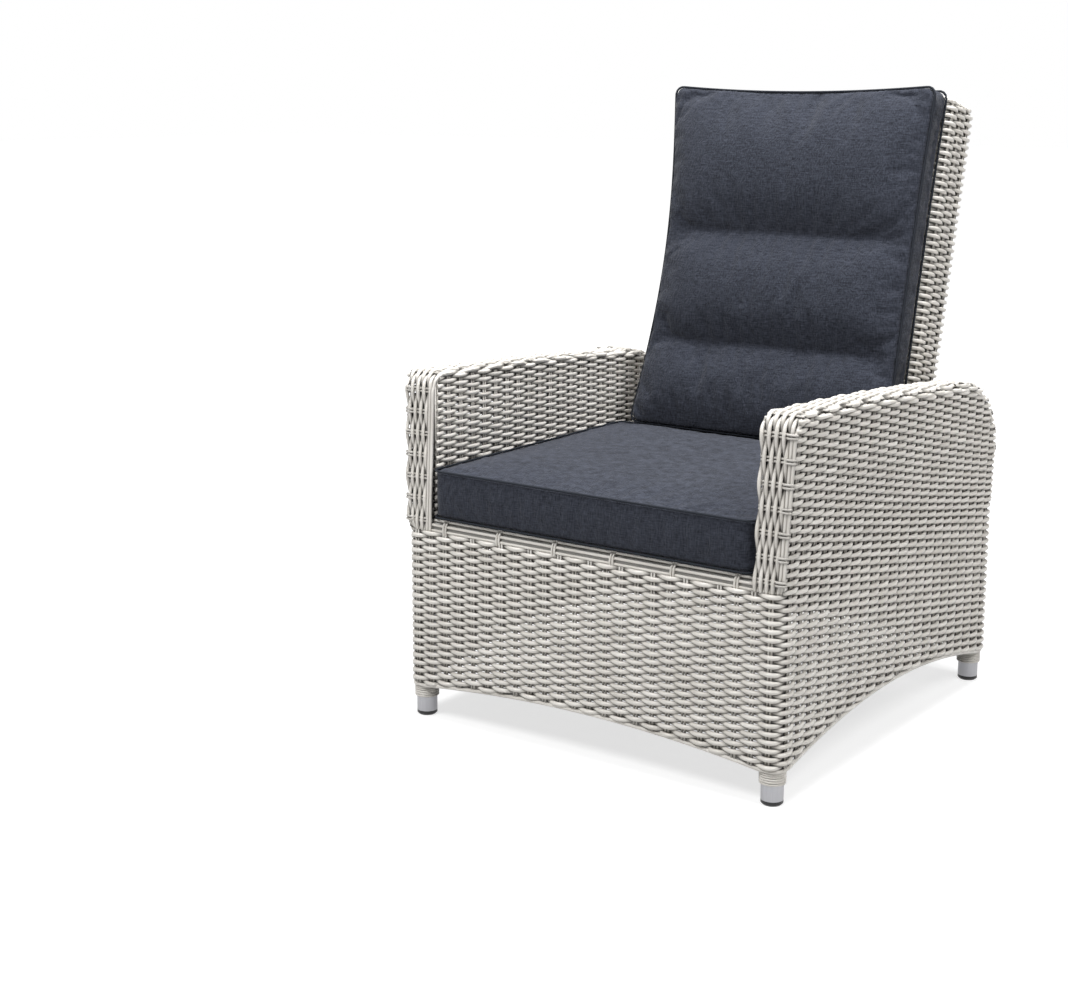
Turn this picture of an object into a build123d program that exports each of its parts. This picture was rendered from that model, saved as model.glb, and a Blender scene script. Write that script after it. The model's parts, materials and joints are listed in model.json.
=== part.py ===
from build123d import *
import os
from math import atan2, cos, degrees, radians, sin

# Reclining garden armchair: a tube frame under woven sides, and a hinged back on a lockable gas spring.
# Millimetres. X runs across the seat with the sitter's left at +X, the front faces -Y, Z is up.
# The origin is on the floor, in the middle of the whole chair.

os.makedirs("parts", exist_ok=True)

# Overall sizes
overall_width = 760
base_depth = 801
arm_height = 617
skirt_height = 341
skirt_flare = 9
arm_setback = 13
arm_width = 62

# Weave
weave_wall = 10
strand = 5
hem_height = 55
side_arch_rise = 45
end_arch_rise = 22
arch_land = 12
skirt_rows = 42
arm_rows = 40
back_rows = 107
row_gap = 1.8
row_depth = 3.5
fit_gap = 0.3
overrun = 20

# Arm outline
arm_front_radius = 24
arm_top_radius = 6000
arm_rear_radius = 160
arm_rear_lean = 14
arm_middle_share = 0.47
arm_middle_drop = 15
arm_rear_drop = 48
arm_edge_radius = 9

# Legs and feet
leg_diameter = 36
leg_wall = 2
leg_cap = 3
glide_height = 8
glide_plug = 15
glide_chamfer = 3
collar_height = 15
collar_gap = 1

# Frame tubes
rail_diameter = 25
rail_wall = 2
side_rail_width = 25
side_rail_height = 50
side_rail_proud = 1
hoop_diameter = 16
hoop_wall = 1.5
hoop_bend = 30
rung_diameter = 10
hem_tube_diameter = 12

# Seat deck
strap_width = 46
strap_thickness = 2
cross_strap_count = 5
long_strap_count = 6
deck_rail_size = 25
deck_front = 45
deck_rear = 590

# Hinged back
back_side_gap = 44
back_thickness = 100
back_rise = 697
back_tail = 30
back_rake = 13.4
back_corner_radius = 28
back_edge_radius = 14
hinge_from_front = 648
hinge_over_rail = 32.5
back_hoop_diameter = 20
back_hoop_wall = 2
back_hoop_bend = 45
back_rung_diameter = 12
torsion_diameter = 30
torsion_wall = 3
pivot_plate_thickness = 6
recline_angle = 35

# Hinge
bolt_diameter = 10
bolt_head_diameter = 17
bolt_head_height = 6
bolt_grip = 40
boss_depth = 30
bush_wall = 2
bush_flange_diameter = 22
bush_flange = 1.5
bush_play = 0.05
bracket_thickness = 6
bracket_length = 50
bracket_shelf_drop = 14.5
bracket_nose = 22
side_gap = 1.5

# Gas spring
crank_radius = 75
crank_boss_radius = 22
crank_tip_radius = 12
crank_thickness = 6
crank_spacing = 20
crank_pin_diameter = 10
eye_bore = 15
eye_diameter = 24
eye_width = 18
cylinder_diameter = 28
cylinder_wall = 3
cylinder_length = 190
cylinder_guide = 15
cylinder_end = 10
eye_reach = 26
rod_diameter = 10
rod_play = 0.05
piston_length = 12
piston_from_front = 15
spring_tube_size = 25
spring_tube_from_front = 290
clevis_reach = 25
clevis_thickness = 5
clevis_pin_diameter = 10
head_width = 16
head_height = 22
head_length = 55
head_nose = 11
rod_seat = 17
release_pin_diameter = 4
release_pin_length = 30
release_pin_play = 0.05
release_pin_proud = 5
head_lever_thickness = 6
head_lever_arm = 8
head_lever_rise = 20
head_lever_radius = 4
head_lever_pin_diameter = 4
slot_front_margin = 12

# Recline handle
handle_from_front = 178
handle_rise_share = 0.4
spindle_diameter = 12
spindle_play = 0.05
handle_length = 92
handle_thickness = 7
handle_tip_width = 22
handle_grip_depth = 16
handle_stand_off = 6
bezel_thickness = 5
bezel_length = 64
bezel_width = 34
handle_bar_thickness = 5
handle_bar_width = 22
horn_length = 16
horn_thickness = 5
horn_width = 14
stop_drop = 46
stop_thickness = 5
cable_diameter = 5
cable_over_rail = 1
cable_turn_from_front = 210
cable_turn_inset = 88
cable_bend_at_arm = 28
cable_bend_at_spring = 79
cable_bend_under_seat = 250

# Cushions
seat_side_gap = 7
seat_front = 4
seat_rear = 584
seat_lift = 0.5
seat_thickness = 88
seat_crown = 8
seat_draw_in = 5
cushion_side_margin = 6
cushion_border = 56
cushion_rise = 688
cushion_puff = 22
crown_slope = 34
crown_shoulder_share = 0.7
crown_top_ratio = 2.6
puff_slope = 18
cushion_channel = 2
cushion_draw_in = 4
cushion_corner = 28
channel_shares = [0.3, 0.6]


# Heights worked out from the sizes above
rail_axis_height = skirt_height + strand
side_rail_top = rail_axis_height + rail_diameter / 2 + side_rail_proud
deck_top = side_rail_top + strap_thickness
hinge_height = side_rail_top + hinge_over_rail
bracket_shelf_height = side_rail_top - bracket_shelf_drop
seat_bottom_height = deck_top + strap_thickness + seat_lift
seat_edge_height = seat_bottom_height + seat_thickness
handle_height = seat_edge_height + (arm_height - seat_edge_height) * handle_rise_share

# Widths and places worked out from the sizes above
half_width = overall_width / 2
inner_face_x = half_width - arm_width
back_width = (inner_face_x - back_side_gap) * 2
cushion_width = back_width - cushion_side_margin * 2
seat_width = (inner_face_x - seat_side_gap) * 2
skirt_half = half_width - skirt_flare
rake_rise = cos(radians(back_rake))
rake_run = sin(radians(back_rake))
half_back = back_thickness / 2
edge_rise = back_rise - back_edge_radius
edge_run = half_back - back_edge_radius
overall_depth = hinge_from_front + edge_rise * rake_run + edge_run * rake_rise + back_edge_radius
front_y = -overall_depth / 2
rear_y = front_y + base_depth
hinge_y = front_y + hinge_from_front
corner_radius = leg_diameter / 2 + strand
leg_x = skirt_half - corner_radius
leg_front_y = front_y + corner_radius
leg_rear_y = rear_y - corner_radius
rail_from_face = weave_wall - strand + rail_diameter / 2 + 1
rail_front_y = front_y + rail_from_face
rail_rear_y = rear_y - rail_from_face
side_rail_inner_x = leg_x - side_rail_width / 2
back_plane = Plane(origin=(0, hinge_y, hinge_height), x_dir=(1, 0, 0), z_dir=(0, -rake_rise, rake_run))


def save(piece, name):
    """Label a finished piece and write it."""
    piece.part.label = name
    export_step(piece.part, f"parts/{name}.step")


def block(low, high):
    """A box between two corners."""
    size = Vector(high) - Vector(low)
    with BuildPart(Plane(origin=low)) as body:
        Box(size.X, size.Y, size.Z, align=(Align.MIN, Align.MIN, Align.MIN))
    return body.part


def square_tube(low, high, wall, along):
    """A square or oblong tube between two corners, open at the ends of its own axis."""
    trim = Vector(wall, wall, wall)
    reach = Vector(overrun, overrun, overrun)
    open_way = Vector(*[1 if axis == along else 0 for axis in "xyz"])
    side_way = Vector(1, 1, 1) - open_way
    inset = Vector(*[a * b for a, b in zip(trim, side_way)])
    stretch = Vector(*[a * b for a, b in zip(reach, open_way)])
    with BuildPart() as body:
        add(block(low, high))
        add(block(Vector(low) + inset - stretch, Vector(high) - inset + stretch), mode=Mode.SUBTRACT)
    return body.part


def rod_between(start, end, diameter, bore=0):
    """A straight round bar, or a tube where it has a bore."""
    run = Vector(end) - Vector(start)
    with BuildPart() as body:
        with BuildSketch(Plane(origin=start, z_dir=run)):
            Circle(diameter / 2)
            if bore > 0:
                Circle(bore / 2, mode=Mode.SUBTRACT)
        extrude(amount=run.length)
    return body.part


def bent_tube(route, diameter, bore=0):
    """A round tube along a route of tangent lines and arcs."""
    with BuildPart() as body:
        with BuildSketch(Plane(origin=route @ 0, z_dir=route % 0)):
            Circle(diameter / 2)
            if bore > 0:
                Circle(bore / 2, mode=Mode.SUBTRACT)
        sweep(path=route)
    return body.part


def trimmed(piece, *cutters):
    """A piece with its ends coped to the pieces it meets."""
    with BuildPart() as body:
        add(piece)
        for cutter in cutters:
            add(cutter, mode=Mode.SUBTRACT)
    return body.part


def inset_route(points, inset):
    """The corners of an open outline moved sideways, towards its right-hand side."""
    lines = []
    for start, end in zip(points, points[1:]):
        run = (end - start).normalized()
        aside = Vector(run.Y, -run.X) * inset
        lines.append((start + aside, run))
    corners = [lines[0][0]]
    for (a, u), (b, v) in zip(lines, lines[1:]):
        turn = u.X * v.Y - u.Y * v.X
        reach = ((b - a).X * v.Y - (b - a).Y * v.X) / turn
        corners.append(a + u * reach)
    last, run = lines[-1]
    corners.append(last + run * (points[-1] - points[-2]).length)
    return corners


# Arm outline in the side view, from the front of the skirt over the top to its rear
arm_middle_y = front_y + base_depth * arm_middle_share
arm_outline = [
    Vector(front_y, skirt_height),
    Vector(front_y + arm_setback, arm_height),
    Vector(arm_middle_y, arm_height - arm_middle_drop),
    Vector(rear_y - arm_rear_lean, arm_height - arm_rear_drop),
    Vector(rear_y, skirt_height),
]


def arm_prism(inset, low_x, high_x):
    """The arm's side outline, moved inwards by a wall and carried across the arm."""
    corners = inset_route(arm_outline, inset)
    drop = Vector(0, -overrun)
    radii = [arm_front_radius - inset, arm_top_radius - inset, arm_rear_radius - inset]
    with BuildPart() as body:
        with BuildSketch(Plane.YZ.offset(low_x)):
            with BuildLine():
                top = FilletPolyline(*corners, radius=radii)
                Polyline(top @ 1, top @ 1 + drop, top @ 0 + drop, top @ 0)
            make_face()
        extrude(amount=high_x - low_x)
    return body.part


def arm_section(inset):
    """The arm's front view: an upright inner face, and an outer face that leans out to the top."""
    low = skirt_height - overrun
    high = arm_height + overrun
    with BuildPart() as body:
        with BuildSketch(Plane.XZ.offset(-rear_y - overrun)):
            with BuildLine():
                Polyline(
                    (inner_face_x + inset, low),
                    (skirt_half - inset, low),
                    (skirt_half - inset, skirt_height),
                    (half_width - inset, arm_height),
                    (half_width - inset, high),
                    (inner_face_x + inset, high),
                    close=True,
                )
            make_face()
        extrude(amount=base_depth + overrun * 2)
    return body.part


# Legs: tubes from the floor glides to the side rails, closed at the top
leg_places = {
    "front_left": (leg_x, leg_front_y),
    "front_right": (-leg_x, leg_front_y),
    "rear_left": (leg_x, leg_rear_y),
    "rear_right": (-leg_x, leg_rear_y),
}
leg_bodies = {}
for side, (x, y) in leg_places.items():
    leg_bodies[side] = rod_between((x, y, glide_height), (x, y, side_rail_top), leg_diameter)
    with BuildPart() as leg:
        add(leg_bodies[side])
        with BuildSketch(Plane.XY.offset(glide_height)):
            with Locations((x, y)):
                Circle(leg_diameter / 2 - leg_wall)
        extrude(amount=side_rail_top - glide_height - leg_cap, mode=Mode.SUBTRACT)
    save(leg, f"leg_{side}")
legs = list(leg_bodies.values())
left_legs = [leg_bodies["front_left"], leg_bodies["rear_left"]]

# Feet: bevelled plastic glides plugged into the legs
with BuildPart() as glides:
    with BuildSketch(Plane.XZ):
        with BuildLine():
            Polyline(
                (leg_diameter / 2 - glide_chamfer, 0),
                (0, 0),
                (0, glide_height + glide_plug),
                (leg_diameter / 2 - leg_wall, glide_height + glide_plug),
                (leg_diameter / 2 - leg_wall, glide_height),
                (leg_diameter / 2, glide_height),
                (leg_diameter / 2, glide_chamfer),
                close=True,
            )
        make_face()
    revolve(axis=Axis.Z)
with BuildPart() as foot_glides:
    with Locations(*leg_places.values()):
        add(glides.part)
save(foot_glides, "foot_glides")

# Collars: turns of strand wound round each leg under the weave
collar_top = hem_height - collar_gap
with BuildPart() as leg_collars:
    with BuildSketch(Plane.XY.offset(collar_top - collar_height)):
        with Locations(*leg_places.values()):
            Circle(leg_diameter / 2 + strand - collar_gap)
    extrude(amount=collar_height)
    chamfer(leg_collars.edges().filter_by(GeomType.CIRCLE), strand / 3)
    with BuildSketch(Plane.XY.offset(collar_top - collar_height)):
        with Locations(*leg_places.values()):
            Circle(leg_diameter / 2)
    extrude(amount=collar_height, mode=Mode.SUBTRACT)
save(leg_collars, "leg_collars")

# Side rails under the arms
side_rail_low = (side_rail_inner_x, leg_front_y, side_rail_top - side_rail_height)
side_rail_high = (side_rail_inner_x + side_rail_width, leg_rear_y, side_rail_top)
with BuildPart() as side_rail_left:
    add(trimmed(square_tube(side_rail_low, side_rail_high, rail_wall, "y"), *left_legs))
save(side_rail_left, "side_rail_left")
with BuildPart() as side_rail_right:
    mirror(side_rail_left.part, about=Plane.YZ)
save(side_rail_right, "side_rail_right")

# Round rails across the front and rear, with strand wound along them between the arms
rail_bodies = []
wrap_bodies = []
wrap_half = inner_face_x - fit_gap
for end, y in (("front", rail_front_y), ("rear", rail_rear_y)):
    rail_ends = [(-leg_x, y, rail_axis_height), (leg_x, y, rail_axis_height)]
    rail_bodies.append(rod_between(*rail_ends, rail_diameter))
    with BuildPart() as seat_rail:
        add(rod_between(*rail_ends, rail_diameter, rail_diameter - rail_wall * 2))
        for leg_body in legs:
            add(leg_body, mode=Mode.SUBTRACT)
    save(seat_rail, f"seat_rail_{end}")
    wrap_ends = [(-wrap_half, y, rail_axis_height), (wrap_half, y, rail_axis_height)]
    wrap_bodies.append(rod_between(*wrap_ends, rail_diameter + strand * 2 + fit_gap * 2))
    with BuildPart() as rail_wrap:
        add(rod_between(*wrap_ends, rail_diameter + strand * 2, rail_diameter))
        for leg_body in legs:
            add(leg_body, mode=Mode.SUBTRACT)
    save(rail_wrap, f"rail_wrap_{end}")


def arch_line(start, end, rise, lift=0):
    """Three points of an arched hem between two low ends, raised by the lift."""
    middle = (start + end) / 2
    up = Vector(0, 0, lift)
    return [start + up, middle + Vector(0, 0, rise) + up, end + up]


# Hem arches: each runs from leg to leg
side_arch_front = front_y + corner_radius + arch_land
side_arch_rear = rear_y - corner_radius - arch_land
end_arch_x = skirt_half - corner_radius - arch_land


def side_arch(x, lift=0):
    """The arched hem of a side."""
    start = Vector(x, side_arch_front, hem_height)
    end = Vector(x, side_arch_rear, hem_height)
    return arch_line(start, end, side_arch_rise, lift)


def end_arch(y, lift=0):
    """The arched hem of the front or the rear."""
    start = Vector(-end_arch_x, y, hem_height)
    end = Vector(end_arch_x, y, hem_height)
    return arch_line(start, end, end_arch_rise, lift)


def under_arch(plane, low, high, rise):
    """The space under an arched hem in a side or end view, carried through the whole chair."""
    with BuildPart() as body:
        with BuildSketch(plane):
            with BuildLine():
                ThreePointArc(
                    (low, hem_height),
                    ((low + high) / 2, hem_height + rise),
                    (high, hem_height),
                )
                Polyline((high, hem_height), (high, 0), (low, 0), (low, hem_height))
            make_face()
        extrude(amount=overall_width, both=True)
    return body.part


middle_y = (front_y + rear_y) / 2
side_arch_cut = under_arch(Plane.YZ, side_arch_front, side_arch_rear, side_arch_rise)
end_arch_cut = under_arch(Plane.XZ, -end_arch_x, end_arch_x, end_arch_rise)

def row_grooves(plane, length, heights, outwards):
    """Level grooves between the woven rows of a flat wall, cut from their floor outwards."""
    with BuildPart() as body:
        with BuildSketch(plane):
            for height in heights:
                with Locations((0, height)):
                    Rectangle(length, row_gap)
        extrude(amount=outwards)
    return body.part


# Skirt: one woven band round the legs, with the hems arched between them
with BuildPart() as skirt:
    with BuildSketch(Plane.XY.offset(hem_height)):
        with Locations((0, middle_y)):
            RectangleRounded(skirt_half * 2, base_depth, corner_radius)
            RectangleRounded(
                (skirt_half - weave_wall) * 2,
                base_depth - weave_wall * 2,
                corner_radius - weave_wall,
                mode=Mode.SUBTRACT,
            )
    extrude(amount=skirt_height - hem_height)
    add(side_arch_cut, mode=Mode.SUBTRACT)
    add(end_arch_cut, mode=Mode.SUBTRACT)
    for cutter in legs + rail_bodies + wrap_bodies:
        add(cutter, mode=Mode.SUBTRACT)

# Aprons: the front and rear of the skirt, with grooves between their woven rows
row_pitch = (skirt_height - hem_height) / skirt_rows
groove_heights = [hem_height + row_pitch * row for row in range(1, skirt_rows)]
apron_ends = (
    ("front", front_y, middle_y, front_y + row_depth, overrun),
    ("rear", middle_y, rear_y, rear_y - row_depth, -overrun),
)
for end, low_y, high_y, groove_y, outwards in apron_ends:
    with BuildPart() as apron:
        add(skirt.part)
        add(block((-leg_x, low_y, 0), (leg_x, high_y, skirt_height)), mode=Mode.INTERSECT)
        grooves = row_grooves(Plane.XZ.offset(-groove_y), leg_x * 2, groove_heights, outwards)
        add(grooves, mode=Mode.SUBTRACT)
    save(apron, f"{end}_apron_weave")

# Arm shell: a woven box over the arm frame, open below
arm_inner_x = inner_face_x + weave_wall
with BuildPart() as arm_block:
    add(arm_prism(0, inner_face_x, half_width))
    add(arm_section(0), mode=Mode.INTERSECT)
    add(block((0, front_y - overrun, 0), (half_width, rear_y + overrun, skirt_height)), mode=Mode.SUBTRACT)
    top_edges = arm_block.edges().filter_by_position(Axis.Z, skirt_height + 1, arm_height + overrun)
    inner_edges = top_edges.filter_by_position(Axis.X, inner_face_x - 1, inner_face_x + 1)
    fillet(inner_edges, arm_edge_radius)
with BuildPart() as arm_core:
    add(arm_prism(weave_wall, inner_face_x, half_width))
    add(arm_section(weave_wall), mode=Mode.INTERSECT)
arm_inset = arm_prism(weave_wall, inner_face_x - overrun, half_width + overrun)
rear_turn_height = arm_height - arm_rear_drop - arm_rear_radius
rear_return = block(
    (0, middle_y, 0),
    (half_width + overrun, rear_y + overrun, rear_turn_height),
)
with BuildPart() as inner_wall:
    add(arm_inset)
    add(
        block((inner_face_x, front_y, 0), (arm_inner_x, rear_y, arm_height)),
        mode=Mode.INTERSECT,
    )
shell_cutters = left_legs + rail_bodies

# Arm band: the woven front face and top of the arm, over the rounded rear
with BuildPart() as arm_band_left:
    add(arm_block.part)
    add(arm_inset, mode=Mode.SUBTRACT)
    add(rear_return, mode=Mode.SUBTRACT)
    for cutter in shell_cutters:
        add(cutter, mode=Mode.SUBTRACT)
save(arm_band_left, "arm_band_left")

# Rows of the arm's walls: level at the skirt, falling to the rear above
arm_lean = degrees(atan2(skirt_flare, arm_height - skirt_height))
arm_rise = arm_height - skirt_height
lean_plane = Plane(
    origin=(skirt_half, 0, skirt_height),
    x_dir=(0, 1, 0),
    z_dir=(cos(radians(arm_lean)), 0, -sin(radians(arm_lean))),
)


def arm_row_grooves(plane, outwards):
    """Grooves between the rows of an arm's wall, from the front of the arm past its rear."""
    with BuildPart() as body:
        with BuildSketch(plane):
            for row in range(1, arm_rows):
                share = row / arm_rows
                line = [
                    (front_y, share * arm_rise),
                    (arm_middle_y, share * (arm_rise - arm_middle_drop)),
                    (rear_y + overrun, share * (arm_rise - arm_rear_drop)),
                ]
                upper = [(y, z + row_gap / 2) for y, z in line]
                lower = [(y, z - row_gap / 2) for y, z in reversed(line)]
                with BuildLine():
                    Polyline(*upper, *lower, close=True)
                make_face()
        extrude(amount=outwards)
    return body.part


# Side weave: the outer wall of the arm, its rear return and the skirt below it
straight_length = base_depth - corner_radius * 2
with BuildPart() as side_weave_left:
    add(arm_block.part)
    add(arm_core.part, mode=Mode.SUBTRACT)
    add(inner_wall.part, mode=Mode.SUBTRACT)
    add(arm_band_left.part, mode=Mode.SUBTRACT)
    add(
        block((leg_x, front_y, 0), (skirt_half, rear_y, skirt_height)).intersect(skirt.part),
    )
    for cutter in shell_cutters:
        add(cutter, mode=Mode.SUBTRACT)
    side_plane = Plane.YZ.offset(skirt_half - row_depth)
    side_plane.origin += (0, middle_y, 0)
    add(row_grooves(side_plane, straight_length, groove_heights, overrun), mode=Mode.SUBTRACT)
    add(arm_row_grooves(lean_plane.offset(-row_depth), overrun), mode=Mode.SUBTRACT)
save(side_weave_left, "side_weave_left")

# Inner weave: the wall beside the cushions, from the deck to the arm's top
handle_y = front_y + handle_from_front
below_wall = block((0, front_y, 0), (half_width, rear_y, deck_top + strand))
inner_plane = Plane(origin=(inner_face_x + row_depth, 0, skirt_height), x_dir=(0, 1, 0), z_dir=(1, 0, 0))
with BuildPart() as plain_wall:
    add(inner_wall.part)
    add(below_wall, mode=Mode.SUBTRACT)
    add(arm_row_grooves(inner_plane, -overrun), mode=Mode.SUBTRACT)
with BuildPart() as arm_inner_weave_left:
    add(plain_wall.part)
    with BuildSketch(Plane.YZ.offset(inner_face_x)):
        with Locations((handle_y, handle_height)):
            Circle(spindle_diameter / 2 + bush_wall)
    extrude(amount=weave_wall, mode=Mode.SUBTRACT)
save(arm_inner_weave_left, "arm_inner_weave_left")

# The inner wall of the other arm has no hole for the spindle
with BuildPart() as arm_inner_weave_right:
    mirror(plain_wall.part, about=Plane.YZ)
save(arm_inner_weave_right, "arm_inner_weave_right")
with BuildPart() as arm_band_right:
    mirror(arm_band_left.part, about=Plane.YZ)
save(arm_band_right, "arm_band_right")
with BuildPart() as side_weave_right:
    mirror(side_weave_left.part, about=Plane.YZ)
save(side_weave_right, "side_weave_right")

# Hem tubes: bent to the arches, just inside the weave
hem_inset = weave_wall + hem_tube_diameter / 2 + fit_gap
hem_lift = hem_tube_diameter / 2
for side, sign in (("left", 1), ("right", -1)):
    with BuildPart() as hem_tube:
        with BuildLine() as hem_route:
            ThreePointArc(*side_arch(sign * (skirt_half - hem_inset), hem_lift))
        add(bent_tube(hem_route.line, hem_tube_diameter))
        for leg_body in legs:
            add(leg_body, mode=Mode.SUBTRACT)
    save(hem_tube, f"hem_tube_{side}")
for end, y in (("front", front_y + hem_inset), ("rear", rear_y - hem_inset)):
    with BuildPart() as hem_tube:
        with BuildLine() as hem_route:
            ThreePointArc(*end_arch(y, hem_lift))
        add(bent_tube(hem_route.line, hem_tube_diameter))
        for leg_body in legs:
            add(leg_body, mode=Mode.SUBTRACT)
    save(hem_tube, f"hem_tube_{end}")

# Arm hoops: two bent tubes stand on each pair of legs and shape the arm
hoop_inset = weave_wall + hoop_diameter / 2 + fit_gap
hoop_radii = [hoop_bend, arm_top_radius - hoop_inset, arm_rear_radius - hoop_inset]
hoop_inner_x = inner_face_x + hoop_inset
hoop_outer_x = skirt_half - hoop_inset
hoop_corners = inset_route(arm_outline, hoop_inset)


def hoop_route(x, lean):
    """The arm outline inside the weave, in a plane that leans outwards."""
    side = Plane(
        origin=(x, 0, skirt_height),
        x_dir=(0, 1, 0),
        z_dir=(cos(radians(lean)), 0, -sin(radians(lean))),
    )
    corners = [(corner.X, corner.Y - skirt_height) for corner in hoop_corners]
    with BuildLine(side) as line:
        FilletPolyline(*corners, radius=hoop_radii)
    return line.line


below_hoops = block((0, front_y - overrun, 0), (half_width, rear_y + overrun, side_rail_top))
hoop_solids = []
hoop_routes = []
hoop_bore = hoop_diameter - hoop_wall * 2
for depth, x, lean in (("inner", hoop_inner_x, 0), ("outer", hoop_outer_x, arm_lean)):
    route = hoop_route(x, lean)
    hoop_routes.append(route)
    hoop_solids.append(bent_tube(route, hoop_diameter))
    with BuildPart() as arm_hoop_left:
        add(bent_tube(route, hoop_diameter, hoop_bore))
        add(below_hoops, mode=Mode.SUBTRACT)
    save(arm_hoop_left, f"arm_hoop_{depth}_left")
    with BuildPart() as arm_hoop_right:
        mirror(arm_hoop_left.part, about=Plane.YZ)
    save(arm_hoop_right, f"arm_hoop_{depth}_right")

# Rungs tie the two hoops of an arm together
rung_shares = [0.2, 0.36, 0.5, 0.64, 0.8]
with BuildPart() as arm_rungs_left:
    for share in rung_shares:
        add(rod_between(hoop_routes[0] @ share, hoop_routes[1] @ share, rung_diameter))
    for hoop in hoop_solids:
        add(hoop, mode=Mode.SUBTRACT)
save(arm_rungs_left, "arm_rungs_left")
with BuildPart() as arm_rungs_right:
    mirror(arm_rungs_left.part, about=Plane.YZ)
save(arm_rungs_right, "arm_rungs_right")

# Deck rails carry the long straps, and stand between the side rails
deck_rail_low = deck_top - deck_rail_size
deck_starts = [front_y + deck_front, front_y + deck_rear - deck_rail_size]
with BuildPart() as deck_rails:
    for start in deck_starts:
        low = (-side_rail_inner_x, start, deck_rail_low)
        high = (side_rail_inner_x, start + deck_rail_size, deck_top)
        add(square_tube(low, high, rail_wall, "x"))
save(deck_rails, "deck_rails")

# Straps: five across on the side rails, six along over them
deck_length = deck_rear - deck_front - deck_rail_size * 2
cross_pitch = deck_length / cross_strap_count
cross_start = front_y + deck_front + deck_rail_size
strap_end = side_rail_inner_x + side_rail_width
with BuildPart() as seat_straps:
    for index in range(cross_strap_count):
        centre = cross_start + cross_pitch * (index + 0.5)
        low = (-strap_end, centre - strap_width / 2, side_rail_top)
        add(block(low, (strap_end, centre + strap_width / 2, deck_top)))
    long_pitch = side_rail_inner_x * 2 / long_strap_count
    for index in range(long_strap_count):
        centre = long_pitch * (index + 0.5) - side_rail_inner_x
        low = (centre - strap_width / 2, front_y + deck_front, deck_top)
        high = (centre + strap_width / 2, front_y + deck_rear, deck_top + strap_thickness)
        add(block(low, high))
save(seat_straps, "seat_straps")

# Pivot brackets: a shelf from the side rail with an upright ear beside the back
half_back_width = back_width / 2
ear_x = half_back_width + side_gap + bush_flange
bush_outer = bolt_diameter + bush_play * 2 + bush_wall * 2
shelf_top = bracket_shelf_height + bracket_thickness
with BuildPart() as pivot_bracket_left:
    with BuildSketch(Plane.YZ.offset(ear_x)):
        with BuildLine():
            Polyline(
                (hinge_y - bracket_nose, hinge_height),
                (hinge_y - bracket_length / 2, bracket_shelf_height),
                (hinge_y + bracket_length / 2, bracket_shelf_height),
                (hinge_y + bracket_nose, hinge_height),
            )
            ThreePointArc(
                (hinge_y + bracket_nose, hinge_height),
                (hinge_y, hinge_height + bracket_nose),
                (hinge_y - bracket_nose, hinge_height),
            )
        make_face()
        with Locations((hinge_y, hinge_height)):
            Circle(bush_outer / 2, mode=Mode.SUBTRACT)
    extrude(amount=bracket_thickness)
    add(
        block(
            (ear_x, hinge_y - bracket_length / 2, bracket_shelf_height),
            (side_rail_inner_x, hinge_y + bracket_length / 2, shelf_top),
        )
    )
    with BuildSketch(Plane.XZ.offset(-hinge_y - bracket_thickness / 2)):
        with BuildLine():
            Polyline(
                (ear_x + bracket_thickness, shelf_top),
                (side_rail_inner_x, shelf_top),
                (ear_x + bracket_thickness, hinge_height - bracket_nose),
                close=True,
            )
        make_face()
    extrude(amount=bracket_thickness)
save(pivot_bracket_left, "pivot_bracket_left")
with BuildPart() as pivot_bracket_right:
    mirror(pivot_bracket_left.part, about=Plane.YZ)
save(pivot_bracket_right, "pivot_bracket_right")


def hinge_pair(profile):
    """A turned shape about the hinge axis on the left, and its mirror image on the right."""
    with BuildPart() as left:
        with BuildSketch(Plane(origin=(0, hinge_y, hinge_height), x_dir=(1, 0, 0), z_dir=(0, 0, 1))):
            with BuildLine():
                Polyline(*profile, close=True)
            make_face()
        revolve(axis=Axis((0, hinge_y, hinge_height), (1, 0, 0)))
    with BuildPart() as pair:
        add(left.part)
        mirror(left.part, about=Plane.YZ)
    return pair


# Bushes: flanged, pressed into the ears
bush_bore = bolt_diameter / 2 + bush_play
bushes = hinge_pair(
    [
        (ear_x - bush_flange, bush_bore),
        (ear_x + bracket_thickness, bush_bore),
        (ear_x + bracket_thickness, bush_outer / 2),
        (ear_x, bush_outer / 2),
        (ear_x, bush_flange_diameter / 2),
        (ear_x - bush_flange, bush_flange_diameter / 2),
    ]
)
save(bushes, "pivot_bushes")

# Pivot bolts: through the bushes into the bosses of the back
bolt_head_x = ear_x + bracket_thickness + fit_gap
boss_face_x = ear_x - bush_flange - fit_gap
bolts = hinge_pair(
    [
        (boss_face_x - bolt_grip, 0),
        (bolt_head_x + bolt_head_height, 0),
        (bolt_head_x + bolt_head_height, bolt_head_diameter / 2),
        (bolt_head_x, bolt_head_diameter / 2),
        (bolt_head_x, bolt_diameter / 2),
        (boss_face_x - bolt_grip, bolt_diameter / 2),
    ]
)
save(bolts, "pivot_bolts")

# Pivot bosses: plugs in the ends of the torsion tube, bored for the bolts
torsion_bore = torsion_diameter - torsion_wall * 2
torsion_half = half_back_width - weave_wall - back_hoop_diameter / 2 + pivot_plate_thickness / 2
bosses = hinge_pair(
    [
        (torsion_half - boss_depth, 0),
        (boss_face_x - bolt_grip, 0),
        (boss_face_x - bolt_grip, bolt_diameter / 2),
        (boss_face_x, bolt_diameter / 2),
        (boss_face_x, torsion_bore / 2),
        (torsion_half - boss_depth, torsion_bore / 2),
    ]
)
save(bosses, "pivot_bosses")

# Torsion tube along the hinge axis
with BuildPart() as torsion_tube:
    add(
        rod_between(
            (-torsion_half, hinge_y, hinge_height),
            (torsion_half, hinge_y, hinge_height),
            torsion_diameter,
            torsion_bore,
        )
    )
save(torsion_tube, "back_torsion_tube")

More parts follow.
